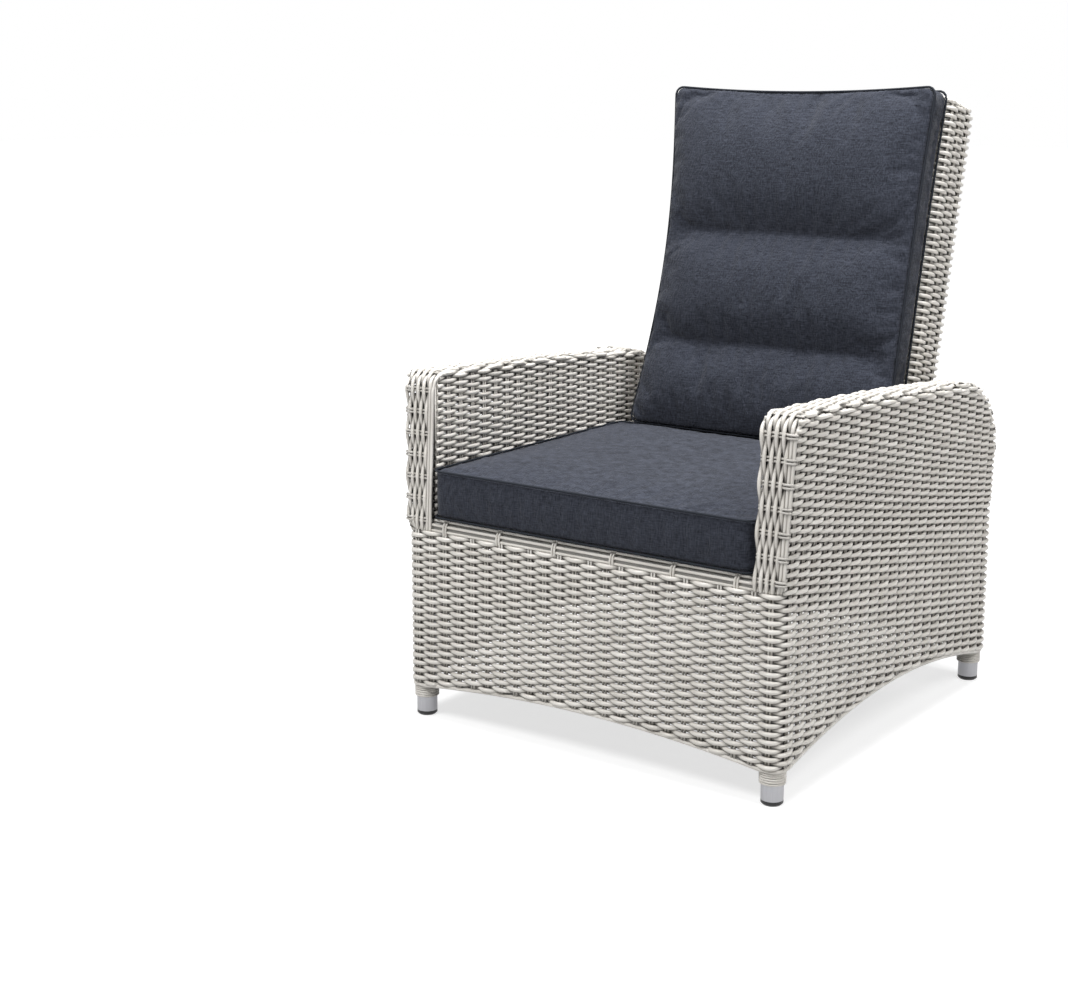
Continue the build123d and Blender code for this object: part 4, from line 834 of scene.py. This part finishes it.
SEAT = {
    "half": 0.3130, "front": 0.0015, "rear": 0.5805, "low": 0.3675, "high": 0.4490, "corner": 0.018
}
PIPING = 0.0021
SEAT_PIPING_OUT, BACK_PIPING_OUT = 0.0012, 0.001
PIPING_POINTS, SEAT_POINTS, CUSHION_POINTS = 360, 420, 460
CORNER_SHARE = 0.9
CLOTH_FACE = 0.006
SEAM_HOLD, REST_HOLD, SEWN_HOLD = 0.0065, 0.003, 0.005


def seat_place(x, y, level):
    """From the seat cushion's middle and a height to the chair's place."""
    middle = (SEAT["front"] + SEAT["rear"]) / 2
    return triples(x, y + middle + FRONT, level)


def loop_distance(points, half_x, half_y, corner, centre, level):
    """How far each point is from a seam that runs round a rounded rectangle at one level."""
    px, py = np.abs(points[:, 0] - centre[0]), np.abs(points[:, 1] - centre[1])
    qx, qy = px - (half_x - corner), py - (half_y - corner)
    outside = np.hypot(np.maximum(qx, 0), np.maximum(qy, 0)) + np.minimum(np.maximum(qx, qy), 0) - corner
    return np.hypot(outside, points[:, 2] - level)


def seat_cushion():
    """A boxed cushion with piping round its top and bottom seams."""
    half_y = (SEAT["rear"] - SEAT["front"]) / 2
    low, high = SEAT["low"], SEAT["high"]
    rings = [(0.20, low), (0.10, low), (0.03, low), (0.002, low), (0, low + 0.002)]
    rings += [(0, z) for z in np.linspace(low + 0.01, high - 0.01, 9)]
    crown = [(0.002, 0), (0.03, 0.002), (0.10, 0.005), (0.20, 0.006)]
    rings += [(0, high - 0.002)] + [(inset, high + rise) for inset, rise in crown]
    place = (SEAT["half"], half_y, SEAT["corner"], seat_place)
    points, faces = slab(SEAT_POINTS, rings, place)
    thing = mesh_object("seat_cushion_cloth", points, faces, finish("Cushion cloth"))
    thing = remeshed(thing, CLOTH_FACE)
    co = mesh_points(thing)
    centre = (0.0, (SEAT["front"] + SEAT["rear"]) / 2 + FRONT)
    seam = np.minimum(
        loop_distance(co, SEAT["half"], half_y, SEAT["corner"], centre, high),
        loop_distance(co, SEAT["half"], half_y, SEAT["corner"], centre, low),
    )
    pinned = (seam < SEAM_HOLD) | (co[:, 2] < low + REST_HOLD)
    inflate(thing, pinned, settings().seat_pressure, settings().seat_swell, stretch=0.012)
    finish_cushion(thing, "seat_cushion_cloth", "base", "seat_cushion")
    loops = []
    for level in (low, high):
        half_x, half_run = SEAT["half"] + SEAT_PIPING_OUT, half_y + SEAT_PIPING_OUT
        x, y, nx, ny = rounded_loop(half_x, half_run, SEAT["corner"], PIPING_POINTS)
        centre = seat_place(x, y, np.full_like(x, level))[None]
        centre[..., 1] -= FRONT
        out = triples(nx, ny, 0.0)[None]
        loops.append(tubes(centre, out, PIPING, 8, closed=True, seed=70))
    piping = strand_piece("seat_cushion_piping", loops, "Cushion piping", "base")


CUSHION = {
    "half": 0.2690, "rear": 0.0545, "front": 0.1040, "top": 0.6985, "foot": 0.4585, "corner": 0.017
}
CUSHION_HALF_RISE = 0.315
CUSHION_PUFF = 0.021
CUSHION_BOWS = (0.028, 0.003)
CUSHION_SAG = 0.011
CUSHION_ASIDE = 0.004
CUSHION_DRAWN = 0.0012
CHANNELS = (0.208, 0.422)
CHANNEL_HALF = 0.236
SEAM_RISE, CHANNEL_RISE, CHANNEL_SHARE = 0.080, 0.062, 0.12
PLEAT_HIGH, PLEAT_NEAR, PLEAT_REACH, PLEAT_TURNS, PLEAT_DRIFT = 0.0009, 0.004, 0.030, 225, 31


def cushion_foot(w):
    """The back cushion is cut level at its foot, where it stands on the seat cushion."""
    return (CUSHION["foot"] - HINGE[1] - w * sin(RAKE)) / cos(RAKE)


def channel_distance(u, v):
    """How far a point of the front is from the nearest sewn channel."""
    beyond = np.maximum(np.abs(u) - CHANNEL_HALF, 0)
    return np.minimum.reduce([np.hypot(v - at, beyond) for at in CHANNELS])


def cushion_lift(u, v, edge):
    """The front's height: it leaves the seams steeply and levels out over each section."""
    from_seam = np.clip(edge / SEAM_RISE, 0, 1)
    from_channel = np.clip(channel_distance(u, v) / CHANNEL_RISE, 0, 1)
    round_off = (1 - (1 - from_seam) ** 2.2) ** 0.6
    dip = (1 - (1 - from_channel) ** 2.0) ** 0.7
    near = np.exp(-np.clip(channel_distance(u, v) - PLEAT_NEAR, 0, 1) / PLEAT_REACH)
    pleat = near * np.sin(u * PLEAT_TURNS + 2.2 * np.sin(u * PLEAT_DRIFT))
    filled = CHANNEL_SHARE + (1 - CHANNEL_SHARE) * dip
    return CUSHION_PUFF * round_off * filled + PLEAT_HIGH * pleat * round_off


def cushion_shape(x, y, level, half_y, inset=0.0, lifted=False):
    """Places a ring of the back cushion: its sides bow in and its top sags between the corners."""
    low = cushion_foot(level)
    share = (y / half_y + 1) / 2
    v = low + share * (CUSHION["top"] + 0.08 * (CUSHION["front"] - level) - low)
    share = np.clip(share, 0, 1)
    bow = np.where(x < 0, *CUSHION_BOWS) * np.sin(pi * share) * np.abs(x / CUSHION["half"])
    sag = CUSHION_SAG * share**6 * (1 - (x / CUSHION["half"]) ** 2)
    lift = cushion_lift(x, v, inset) if lifted else 0.0
    points = back_place(x - bow * np.sign(x) - CUSHION_ASIDE, v - sag, level + lift)
    points[..., 1] += FRONT
    return points


def back_cushion():
    """A boxed back cushion: its front is sewn in three puffed sections."""
    half_y = CUSHION_HALF_RISE
    rear, front = CUSHION["rear"], CUSHION["front"]
    border = np.linspace(rear, front, 9)
    drawn = CUSHION_DRAWN * np.sin(pi * np.linspace(0, 1, 9))
    levels = [(inset, rear, False) for inset in (0.2, 0.1, 0.03)]
    levels += [(inset, level, False) for inset, level in zip(drawn, border)]
    levels += [(inset, front, True) for inset in np.linspace(0.0025, CUSHION["half"] - 0.001, 90)]
    way = np.arange(CUSHION_POINTS) / CUSHION_POINTS
    points = []
    for inset, level, lifted in levels:
        hx, hy = CUSHION["half"] - inset, half_y - inset
        x, y, _, _ = back_ring(way, hx, hy, min(CUSHION["corner"], hx * CORNER_SHARE))
        points.append(cushion_shape(x, y, np.full_like(x, level), half_y, inset, lifted))
    points = np.concatenate(points)
    faces = ring_stack(len(levels), len(way))
    thing = mesh_object("back_cushion_cloth", points, faces, finish("Cushion cloth"))
    loops = []
    for level in (rear, front):
        half_x, half_run = CUSHION["half"] + BACK_PIPING_OUT, half_y + BACK_PIPING_OUT
        x, y, nx, ny = rounded_loop(half_x, half_run, CUSHION["corner"], PIPING_POINTS)
        centre = cushion_shape(x, y, np.full_like(x, level), half_y)
        loops.append((centre, back_turn(nx, ny, 0 * nx)))
    thing = remeshed(thing, CLOTH_FACE)
    co = mesh_points(thing)
    y, z = co[:, 1] - FRONT - HINGE[0], co[:, 2] - HINGE[1]
    v = y * sin(RAKE) + z * cos(RAKE)
    w = -y * cos(RAKE) + z * sin(RAKE)
    near = np.full(len(co), 1.0)
    for spot in np.concatenate([centre[::2] for centre, _ in loops]):
        near = np.minimum(near, ((co - spot) ** 2).sum(axis=1))
    sewn = (channel_distance(co[:, 0], v) < SEWN_HOLD) & (w > front - 0.012)
    pinned = (near < SEAM_HOLD**2) | (w < rear + REST_HOLD) | sewn
    inflate(thing, pinned, settings().back_pressure, settings().back_swell, stretch=0.030)
    finish_cushion(thing, "back_cushion_cloth", "back", "back_cushion")
    bundles = []
    for centre, out in loops:
        line = centre[None].copy()
        line[..., 1] -= FRONT
        bundles.append(tubes(line, out[None], PIPING, 8, closed=True, seed=71))
    piping = strand_piece("back_cushion_piping", bundles, "Cushion piping", "back")


# Finishes


def finish(name):
    """The material of that name, made the first time it is asked for."""
    if name in bpy.data.materials:
        return bpy.data.materials[name]
    material = bpy.data.materials.new(name)
    material.use_nodes = True
    FINISHES[name](material.node_tree, material.node_tree.nodes["Principled BSDF"])
    return material


def link(tree, source, target):
    """Joins two sockets."""
    tree.links.new(source, target)


def mixed(tree, share, first, second):
    """A colour between two others by a share that changes over the surface."""
    mix = tree.nodes.new("ShaderNodeMix")
    mix.data_type = "RGBA"
    for place, colour in ((6, first), (7, second)):
        if isinstance(colour, bpy.types.NodeSocket):
            link(tree, colour, mix.inputs[place])
        else:
            mix.inputs[place].default_value = (*colour, 1)
    link(tree, share, mix.inputs[0])
    return mix.outputs[2]


GRAIN_INPUTS = {
    "Vector": "NodeSocketVector",
    "Stretch": "NodeSocketVector",
    "Scale": "NodeSocketFloat",
    "Detail": "NodeSocketFloat",
    "Low": "NodeSocketFloat",
    "High": "NodeSocketFloat",
    "Dark": "NodeSocketColor",
    "Light": "NodeSocketColor",
}
GRAIN_OUTPUTS = {"Level": "NodeSocketFloat", "Colour": "NodeSocketColor"}


def grain_group():
    """The grain that several finishes share: noise on a stretched coordinate, and a colour by its level."""
    if "Grain" in bpy.data.node_groups:
        return bpy.data.node_groups["Grain"]
    group = bpy.data.node_groups.new("Grain", "ShaderNodeTree")
    for side, sockets in (("INPUT", GRAIN_INPUTS), ("OUTPUT", GRAIN_OUTPUTS)):
        for name, kind in sockets.items():
            group.interface.new_socket(name=name, in_out=side, socket_type=kind)
    given = group.nodes.new("NodeGroupInput").outputs
    result = group.nodes.new("NodeGroupOutput").inputs
    mapping = group.nodes.new("ShaderNodeMapping")
    link(group, given["Vector"], mapping.inputs["Vector"])
    link(group, given["Stretch"], mapping.inputs["Scale"])
    noise = group.nodes.new("ShaderNodeTexNoise")
    link(group, mapping.outputs[0], noise.inputs["Vector"])
    link(group, given["Scale"], noise.inputs["Scale"])
    link(group, given["Detail"], noise.inputs["Detail"])
    spread = group.nodes.new("ShaderNodeMapRange")
    link(group, noise.outputs["Fac"], spread.inputs["Value"])
    link(group, given["Low"], spread.inputs["From Min"])
    link(group, given["High"], spread.inputs["From Max"])
    colour = mixed(group, spread.outputs["Result"], given["Dark"], given["Light"])
    link(group, noise.outputs["Fac"], result["Level"])
    link(group, colour, result["Colour"])
    return group


def grain(tree, vector, scale, detail, stretch=(1, 1, 1), span=(0, 1), tones=((0, 0, 0), (1, 1, 1))):
    """Places the grain in a material with its own values."""
    node = tree.nodes.new("ShaderNodeGroup")
    node.node_tree = grain_group()
    link(tree, vector, node.inputs["Vector"])
    values = {"Stretch": stretch, "Scale": scale, "Detail": detail, "Low": span[0], "High": span[1]}
    values |= {"Dark": (*tones[0], 1), "Light": (*tones[1], 1)}
    for name, value in values.items():
        node.inputs[name].default_value = value
    return node.outputs


def object_place(tree):
    """The place on the object, in metres."""
    return tree.nodes.new("ShaderNodeTexCoord").outputs["Object"]


def attribute(tree, name):
    """A value that the mesh's points carry."""
    node = tree.nodes.new("ShaderNodeAttribute")
    node.attribute_name = name
    return node.outputs["Fac"]


def ramp(tree, value, low, high):
    """A share from 0 to 1 between two values."""
    node = tree.nodes.new("ShaderNodeMapRange")
    node.inputs["From Min"].default_value = low
    node.inputs["From Max"].default_value = high
    link(tree, value, node.inputs["Value"])
    return node.outputs["Result"]


def bump(tree, shader, height, strength, distance):
    """Lifts the shading by a height."""
    node = tree.nodes.new("ShaderNodeBump")
    node.inputs["Strength"].default_value = strength
    node.inputs["Distance"].default_value = distance
    link(tree, height, node.inputs["Height"])
    link(tree, node.outputs["Normal"], shader.inputs["Normal"])


def woven_strand(tree, shader):
    """Extruded strand: each length has its own tone and faint streaks, and painted shade darkens what lies
    low in the weave and each strand's underside.
    """
    pair = tree.nodes.new("ShaderNodeCombineXYZ")
    link(tree, attribute(tree, "along"), pair.inputs[0])
    link(tree, attribute(tree, "tone"), pair.inputs[1])
    tones = (settings().strand_dark, settings().strand_light)
    streaks = grain(tree, pair.outputs[0], 9.0, 3.0, (1, 40, 1), (0.3, 0.7), tones)
    # Painted shade: a near-black colour is mixed in where the rise attribute is low, in the weave's hollows
    # and on each strand's underside.
    shade = ramp(tree, attribute(tree, "rise"), -0.38, 0.50)
    colour = mixed(tree, shade, settings().strand_painted_shade, streaks["Colour"])
    link(tree, colour, shader.inputs["Base Color"])
    shader.inputs["Roughness"].default_value = 0.33
    shader.inputs["Specular IOR Level"].default_value = 0.5


def cushion_cloth(tree, shader):
    """Melange cloth: crossed slubs of two tones, which also lift the surface a little."""
    place = object_place(tree)
    both = tree.nodes.new("ShaderNodeMath")
    both.operation = "ADD"
    for spot, stretch in enumerate(((1, 1, 8), (8, 8, 1))):
        link(tree, grain(tree, place, 70.0, 3.0, stretch)["Level"], both.inputs[spot])
    share = ramp(tree, both.outputs[0], 0.7, 1.3)
    colour = mixed(tree, share, settings().cloth_dark, settings().cloth_light)
    link(tree, colour, shader.inputs["Base Color"])
    shader.inputs["Roughness"].default_value = 0.9
    shader.inputs["Specular IOR Level"].default_value = 0.15
    shader.inputs["Sheen Weight"].default_value = 0.12
    shader.inputs["Sheen Roughness"].default_value = 0.5
    crinkle = tree.nodes.new("ShaderNodeTexWave")
    crinkle.inputs["Scale"].default_value = 38.0
    crinkle.inputs["Distortion"].default_value = 14.0
    crinkle.inputs["Detail"].default_value = 3.0
    crinkle.inputs["Detail Scale"].default_value = 1.6
    link(tree, place, crinkle.inputs["Vector"])
    bump(tree, shader, crinkle.outputs["Fac"], 0.5, 0.0009)


def plain(colour, roughness, metallic=0.0, specular=0.5):
    """A finish of one even colour."""

    def build(tree, shader):
        shader.inputs["Base Color"].default_value = (*colour, 1)
        shader.inputs["Roughness"].default_value = roughness
        shader.inputs["Metallic"].default_value = metallic
        shader.inputs["Specular IOR Level"].default_value = specular

    return build


def brushed_leg(tree, shader):
    """Satin tube with a faint grain."""
    tones = ((0.36, 0.36, 0.38), (0.45, 0.45, 0.47))
    brushing = grain(tree, object_place(tree), 700.0, 2.0, (1, 1, 0.04), tones=tones)
    link(tree, brushing["Colour"], shader.inputs["Base Color"])
    shader.inputs["Metallic"].default_value = 0.85
    shader.inputs["Roughness"].default_value = 0.42


def webbing(tree, shader):
    """Dark elastic tape with fine ribs."""
    tones = ((0.012, 0.012, 0.013), (0.035, 0.035, 0.037))
    ribs = grain(tree, object_place(tree), 400.0, 1.0, tones=tones)
    link(tree, ribs["Colour"], shader.inputs["Base Color"])
    shader.inputs["Roughness"].default_value = 0.9


def pale_floor(tree, shader):
    """Pale ground: it shows near white to the camera and in reflections, and keeps its shadow."""
    shader.inputs["Base Color"].default_value = (0.42, 0.42, 0.42, 1)
    shader.inputs["Roughness"].default_value = 1.0
    shader.inputs["Specular IOR Level"].default_value = 0.0
    rays = tree.nodes.new("ShaderNodeLightPath")
    seen = tree.nodes.new("ShaderNodeMath")
    seen.operation = "MAXIMUM"
    link(tree, rays.outputs["Is Camera Ray"], seen.inputs[0])
    link(tree, rays.outputs["Is Glossy Ray"], seen.inputs[1])
    glow = tree.nodes.new("ShaderNodeEmission")
    away = tree.nodes.new("ShaderNodeVectorMath")
    away.operation = "LENGTH"
    link(tree, object_place(tree), away.inputs[0])
    paleness = mixed(tree, ramp(tree, away.outputs["Value"], 0.9, 2.2), (0.72, 0.72, 0.72), (1, 1, 1))
    link(tree, paleness, glow.inputs["Color"])
    both = tree.nodes.new("ShaderNodeAddShader")
    link(tree, shader.outputs[0], both.inputs[0])
    link(tree, glow.outputs[0], both.inputs[1])
    mix = tree.nodes.new("ShaderNodeMixShader")
    link(tree, seen.outputs[0], mix.inputs[0])
    link(tree, shader.outputs[0], mix.inputs[1])
    link(tree, both.outputs[0], mix.inputs[2])
    link(tree, mix.outputs[0], tree.nodes["Material Output"].inputs["Surface"])


FINISHES = {
    "Woven strand": woven_strand,
    "Cushion cloth": cushion_cloth,
    "Cushion piping": plain((0.018, 0.021, 0.028), 0.8, 0.0, 0.2),
    "Satin leg": brushed_leg,
    "Frame coat": plain((0.42, 0.41, 0.39), 0.45),
    "Black plastic": plain((0.012, 0.012, 0.013), 0.38),
    "Cable jacket": plain((0.015, 0.015, 0.016), 0.35),
    "Handle metal": plain((0.62, 0.62, 0.63), 0.3, 0.9),
    "Steel": plain((0.50, 0.50, 0.50), 0.35, 1.0),
    "Cast metal": plain((0.48, 0.48, 0.49), 0.55, 0.9),
    "Polished rod": plain((0.80, 0.80, 0.81), 0.08, 1.0),
    "Spring coat": plain((0.014, 0.014, 0.015), 0.3),
    "Webbing": webbing,
    "Pale floor": pale_floor,
}

SLOT_FINISH = {
    "leg_tube": "Satin leg",
    "frame_tube": "Frame coat",
    "black_plastic": "Black plastic",
    "cable_jacket": "Cable jacket",
    "handle": "Handle metal",
    "strap": "Webbing",
    "steel": "Steel",
    "cast_aluminium": "Cast metal",
    "rod_chrome": "Polished rod",
    "spring_body": "Spring coat",
}


def coat_frame():
    """Gives the frame's own nodes their finishes."""
    slots = {entry["node"]: entry["material_slot"] for entry in frame["record"]["subparts"]}
    for name, node in frame["nodes"].items():
        wanted = SLOT_FINISH.get(slots.get(name))
        if wanted:
            node.data.materials.clear()
            node.data.materials.append(finish(wanted))


# Groups of pieces


def weave_skirt():
    """The skirt in two halves."""
    belt("skirt_weave_front", False, "front_apron_weave")
    belt("skirt_weave_rear", True, "rear_apron_weave")


def weave_arms():
    """Each arm's outer wall, inner wall and band."""
    for word, side in SIDES.items():
        side_panel(f"arm_side_weave_{word}", side, f"side_weave_{word}")
        inner_panel(f"arm_inner_wall_{word}", side, f"arm_inner_weave_{word}")
        band(f"arm_top_weave_{word}", side, f"arm_band_{word}")


def wrap_rails():
    """The seat rails' and the legs' windings."""
    rail_wrap("front_rail_strands", RAIL_INSET, "rail_wrap_front")
    rail_wrap("rear_rail_strands", DEPTH - RAIL_INSET, "rail_wrap_rear")
    leg_collars("leg_collars")


def weave_back():
    """The back's rows in two pieces, and its top."""
    pitch = (BACK_RISE + BACK_TAIL) / BACK_ROWS
    middle = LOWER_ROWS * pitch - BACK_TAIL
    upper_rows = BACK_ROWS - LOWER_ROWS - 1
    back_wall("back_weave_lower", -BACK_TAIL, middle, LOWER_ROWS, 0, "back_weave")
    back_wall("back_weave_upper", middle, BACK_RISE - pitch, upper_rows, LOWER_ROWS)
    back_top("back_top_weave")


# Stage

# The photograph's size, its vanishing centre and its focal length, in pixels
PHOTO_WIDE, PHOTO_HIGH = 1068, 1000
PHOTO_CENTRE = (527.9, 437.1)
FOCAL = 1795.3

# Where the camera stands: its turn, its tilt, the point that it faces and its distance from there
CAMERA_TURN, CAMERA_TILT = radians(36.58), radians(10.98)
CAMERA_AIM = (-0.5116, 0.5439, 0.4)
CAMERA_AWAY = 3.6333

FLOOR_HALF = 30.0


def area_light(name, place, aim, size, power):
    """A soft square lamp that faces a point."""
    lamp = bpy.data.lights.new(name, "AREA")
    lamp.size = size
    lamp.energy = power
    thing = bpy.data.objects.new(name, lamp)
    bpy.context.scene.collection.objects.link(thing)
    thing.location = place
    thing.rotation_euler = (Vector(aim) - Vector(place)).to_track_quat("-Z", "Y").to_euler()
    return thing


def set_stage():
    """Pale floor, soft lamps, white surroundings and the camera."""
    scene = bpy.context.scene
    points = np.array([[-1, -1, 0], [1, -1, 0], [1, 1, 0], [-1, 1, 0]]) * FLOOR_HALF
    floor = mesh_object("floor", points, [np.array([[0, 1, 2, 3]])], finish("Pale floor"))
    area_light("key lamp", (-0.9, -2.9, 4.0), (0, 0, 0.4), 1.5, settings().key_power)
    area_light("side lamp", (3.0, -0.6, 3.6), (0, 0, 0.4), 1.5, settings().side_power)
    area_light("top lamp", (0.2, 0.1, 4.2), (0, 0, 0.5), 2.0, settings().top_power)
    world = bpy.data.worlds.new("surroundings")
    scene.world = world
    world.use_nodes = True
    tree = world.node_tree
    light = tree.nodes["Background"]
    light.inputs["Color"].default_value = (1, 1, 1, 1)
    light.inputs["Strength"].default_value = settings().world_light
    shown = tree.nodes.new("ShaderNodeBackground")
    shown.inputs["Color"].default_value = (1, 1, 1, 1)
    rays = tree.nodes.new("ShaderNodeLightPath")
    mix = tree.nodes.new("ShaderNodeMixShader")
    link(tree, rays.outputs["Is Camera Ray"], mix.inputs[0])
    link(tree, light.outputs[0], mix.inputs[1])
    link(tree, shown.outputs[0], mix.inputs[2])
    link(tree, mix.outputs[0], tree.nodes["World Output"].inputs["Surface"])
    lens = bpy.data.cameras.new("camera")
    lens.sensor_width = 36
    lens.lens = FOCAL / PHOTO_WIDE * lens.sensor_width
    lens.shift_x = (PHOTO_WIDE / 2 - PHOTO_CENTRE[0]) / PHOTO_WIDE
    lens.shift_y = (PHOTO_CENTRE[1] - PHOTO_HIGH / 2) / PHOTO_WIDE
    lens.clip_end = 100
    camera = bpy.data.objects.new("camera", lens)
    scene.collection.objects.link(camera)
    level = cos(CAMERA_TILT)
    back = Vector((sin(CAMERA_TURN) * level, -cos(CAMERA_TURN) * level, sin(CAMERA_TILT)))
    aim = Vector((CAMERA_AIM[0], CAMERA_AIM[1] + FRONT, CAMERA_AIM[2]))
    camera.location = aim + back * CAMERA_AWAY
    camera.rotation_euler = (-back).to_track_quat("-Z", "Y").to_euler()
    scene.camera = camera
    scene.view_settings.view_transform = "Standard"


# Add-on


def length(label, text, default):
    """A size in metres."""
    return bpy.props.FloatProperty(
        name=label, description=text, default=default, min=0,
        subtype="DISTANCE", unit="LENGTH", precision=4,
    )


def number(label, text, default):
    """A plain amount."""
    return bpy.props.FloatProperty(name=label, description=text, default=default, min=0)


def count(label, text, default):
    """A whole number of rows."""
    return bpy.props.IntProperty(name=label, description=text, default=default, min=8)


def power(label, text, default):
    """A lamp's power in watts."""
    return bpy.props.FloatProperty(name=label, description=text, default=default, min=0, unit="POWER")


def tint(label, text, default):
    """A colour."""
    return bpy.props.FloatVectorProperty(
        name=label, description=text, default=default, size=3, min=0, max=1, subtype="COLOR"
    )


class GardenArmchairSettings(bpy.types.PropertyGroup):
    """Sizes and colours that a user would change."""

    strand: length("Strand", "Thickness of the woven strand", 0.0065)
    wave: length("Wave", "How far a weft stands over or under the stakes", 0.0044)
    stake: length("Stake", "Thickness of the upright strands", 0.0044)
    stake_gap: length("Stake gap", "Distance between the two stakes of a pair", 0.0053)
    belt_rows: count("Skirt rows", "Rows of weft in the skirt", 42)
    arm_rows: count("Arm rows", "Rows of weft in an arm's wall", 40)
    seat_pressure: number("Seat filling", "Pressure inside the seat cushion", 2.5)
    seat_swell: length("Seat swell", "The most that the seat cushion's cloth may move", 0.012)
    back_pressure: number("Back filling", "Pressure inside the back cushion", 4.0)
    back_swell: length("Back swell", "The most that the back cushion's cloth may move", 0.022)
    strand_light: tint("Strand light", "Light tone of the strand", (0.86, 0.83, 0.78))
    strand_dark: tint("Strand dark", "Dark tone of the strand", (0.66, 0.63, 0.58))
    # Painted shade: the colour painted on strands that lie low in the weave and on their undersides.
    strand_painted_shade: tint("Strand painted shade", "Painted shade on the strand low in the weave", (0.030, 0.027, 0.024))
    cloth_light: tint("Cloth light", "Light thread of the cushions", (0.050, 0.056, 0.076))
    cloth_dark: tint("Cloth dark", "Dark thread of the cushions", (0.013, 0.015, 0.022))
    key_power: power("Key lamp", "Power of the key lamp", 138)
    side_power: power("Side lamp", "Power of the side lamp", 86)
    top_power: power("Top lamp", "Power of the top lamp", 200)
    world_light: number("World light", "Strength of the even light", 0.12)


class GARDEN_OT_coat_frame(bpy.types.Operator):
    """Gives the frame's tubes and fittings their finishes."""

    bl_idname = "garden.coat_frame"
    bl_label = "Frame finishes"

    def execute(self, context):
        coat_frame()
        return {"FINISHED"}


class GARDEN_OT_weave_skirt(bpy.types.Operator):
    """Weaves the skirt round the legs."""

    bl_idname = "garden.weave_skirt"
    bl_label = "Skirt weave"

    def execute(self, context):
        weave_skirt()
        return {"FINISHED"}


class GARDEN_OT_weave_arms(bpy.types.Operator):
    """Weaves the arms' walls, fronts and tops."""

    bl_idname = "garden.weave_arms"
    bl_label = "Arm weave"

    def execute(self, context):
        weave_arms()
        return {"FINISHED"}


class GARDEN_OT_wrap_rails(bpy.types.Operator):
    """Winds strand on the seat rails and legs."""

    bl_idname = "garden.wrap_rails"
    bl_label = "Rails and collars"

    def execute(self, context):
        wrap_rails()
        return {"FINISHED"}


class GARDEN_OT_weave_back(bpy.types.Operator):
    """Weaves the back."""

    bl_idname = "garden.weave_back"
    bl_label = "Back weave"

    def execute(self, context):
        weave_back()
        return {"FINISHED"}


class GARDEN_OT_seat_cushion(bpy.types.Operator):
    """Makes the seat cushion and its piping."""

    bl_idname = "garden.seat_cushion"
    bl_label = "Seat cushion"

    def execute(self, context):
        seat_cushion()
        return {"FINISHED"}


class GARDEN_OT_back_cushion(bpy.types.Operator):
    """Makes the back cushion and its piping."""

    bl_idname = "garden.back_cushion"
    bl_label = "Back cushion"

    def execute(self, context):
        back_cushion()
        return {"FINISHED"}


class GARDEN_OT_set_stage(bpy.types.Operator):
    """Sets the floor, lamps and camera."""

    bl_idname = "garden.set_stage"
    bl_label = "Stage"

    def execute(self, context):
        set_stage()
        return {"FINISHED"}


class GARDEN_PT_armchair(bpy.types.Panel):
    """Lists the armchair's pieces and settings."""

    bl_label = "Garden armchair"
    bl_idname = "GARDEN_PT_armchair"
    bl_space_type = "VIEW_3D"
    bl_region_type = "UI"
    bl_category = "Garden armchair"

    def draw(self, context):
        """Every setting, then every piece's button."""
        for name in GardenArmchairSettings.__annotations__:
            self.layout.prop(context.scene.garden_armchair, name)
        for entry in OPERATORS:
            self.layout.operator(entry.bl_idname)


OPERATORS = (
    GARDEN_OT_coat_frame,
    GARDEN_OT_weave_skirt,
    GARDEN_OT_weave_arms,
    GARDEN_OT_wrap_rails,
    GARDEN_OT_weave_back,
    GARDEN_OT_seat_cushion,
    GARDEN_OT_back_cushion,
    GARDEN_OT_set_stage,
)
CLASSES = (GardenArmchairSettings, *OPERATORS, GARDEN_PT_armchair)


def register():
    """Adds the panel, its settings and its operators."""
    for entry in CLASSES:
        bpy.utils.register_class(entry)
    bpy.types.Scene.garden_armchair = bpy.props.PointerProperty(type=GardenArmchairSettings)


def unregister():
    """Takes them away."""
    del bpy.types.Scene.garden_armchair
    for entry in reversed(CLASSES):
        bpy.utils.unregister_class(entry)


def main():
    """Registers the add-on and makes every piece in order."""
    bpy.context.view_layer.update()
    register()
    bpy.ops.garden.coat_frame()
    bpy.ops.garden.weave_skirt()
    bpy.ops.garden.weave_arms()
    bpy.ops.garden.wrap_rails()
    bpy.ops.garden.weave_back()
    bpy.ops.garden.seat_cushion()
    bpy.ops.garden.back_cushion()
    bpy.ops.garden.set_stage()


if __name__ == "__main__":
    main()
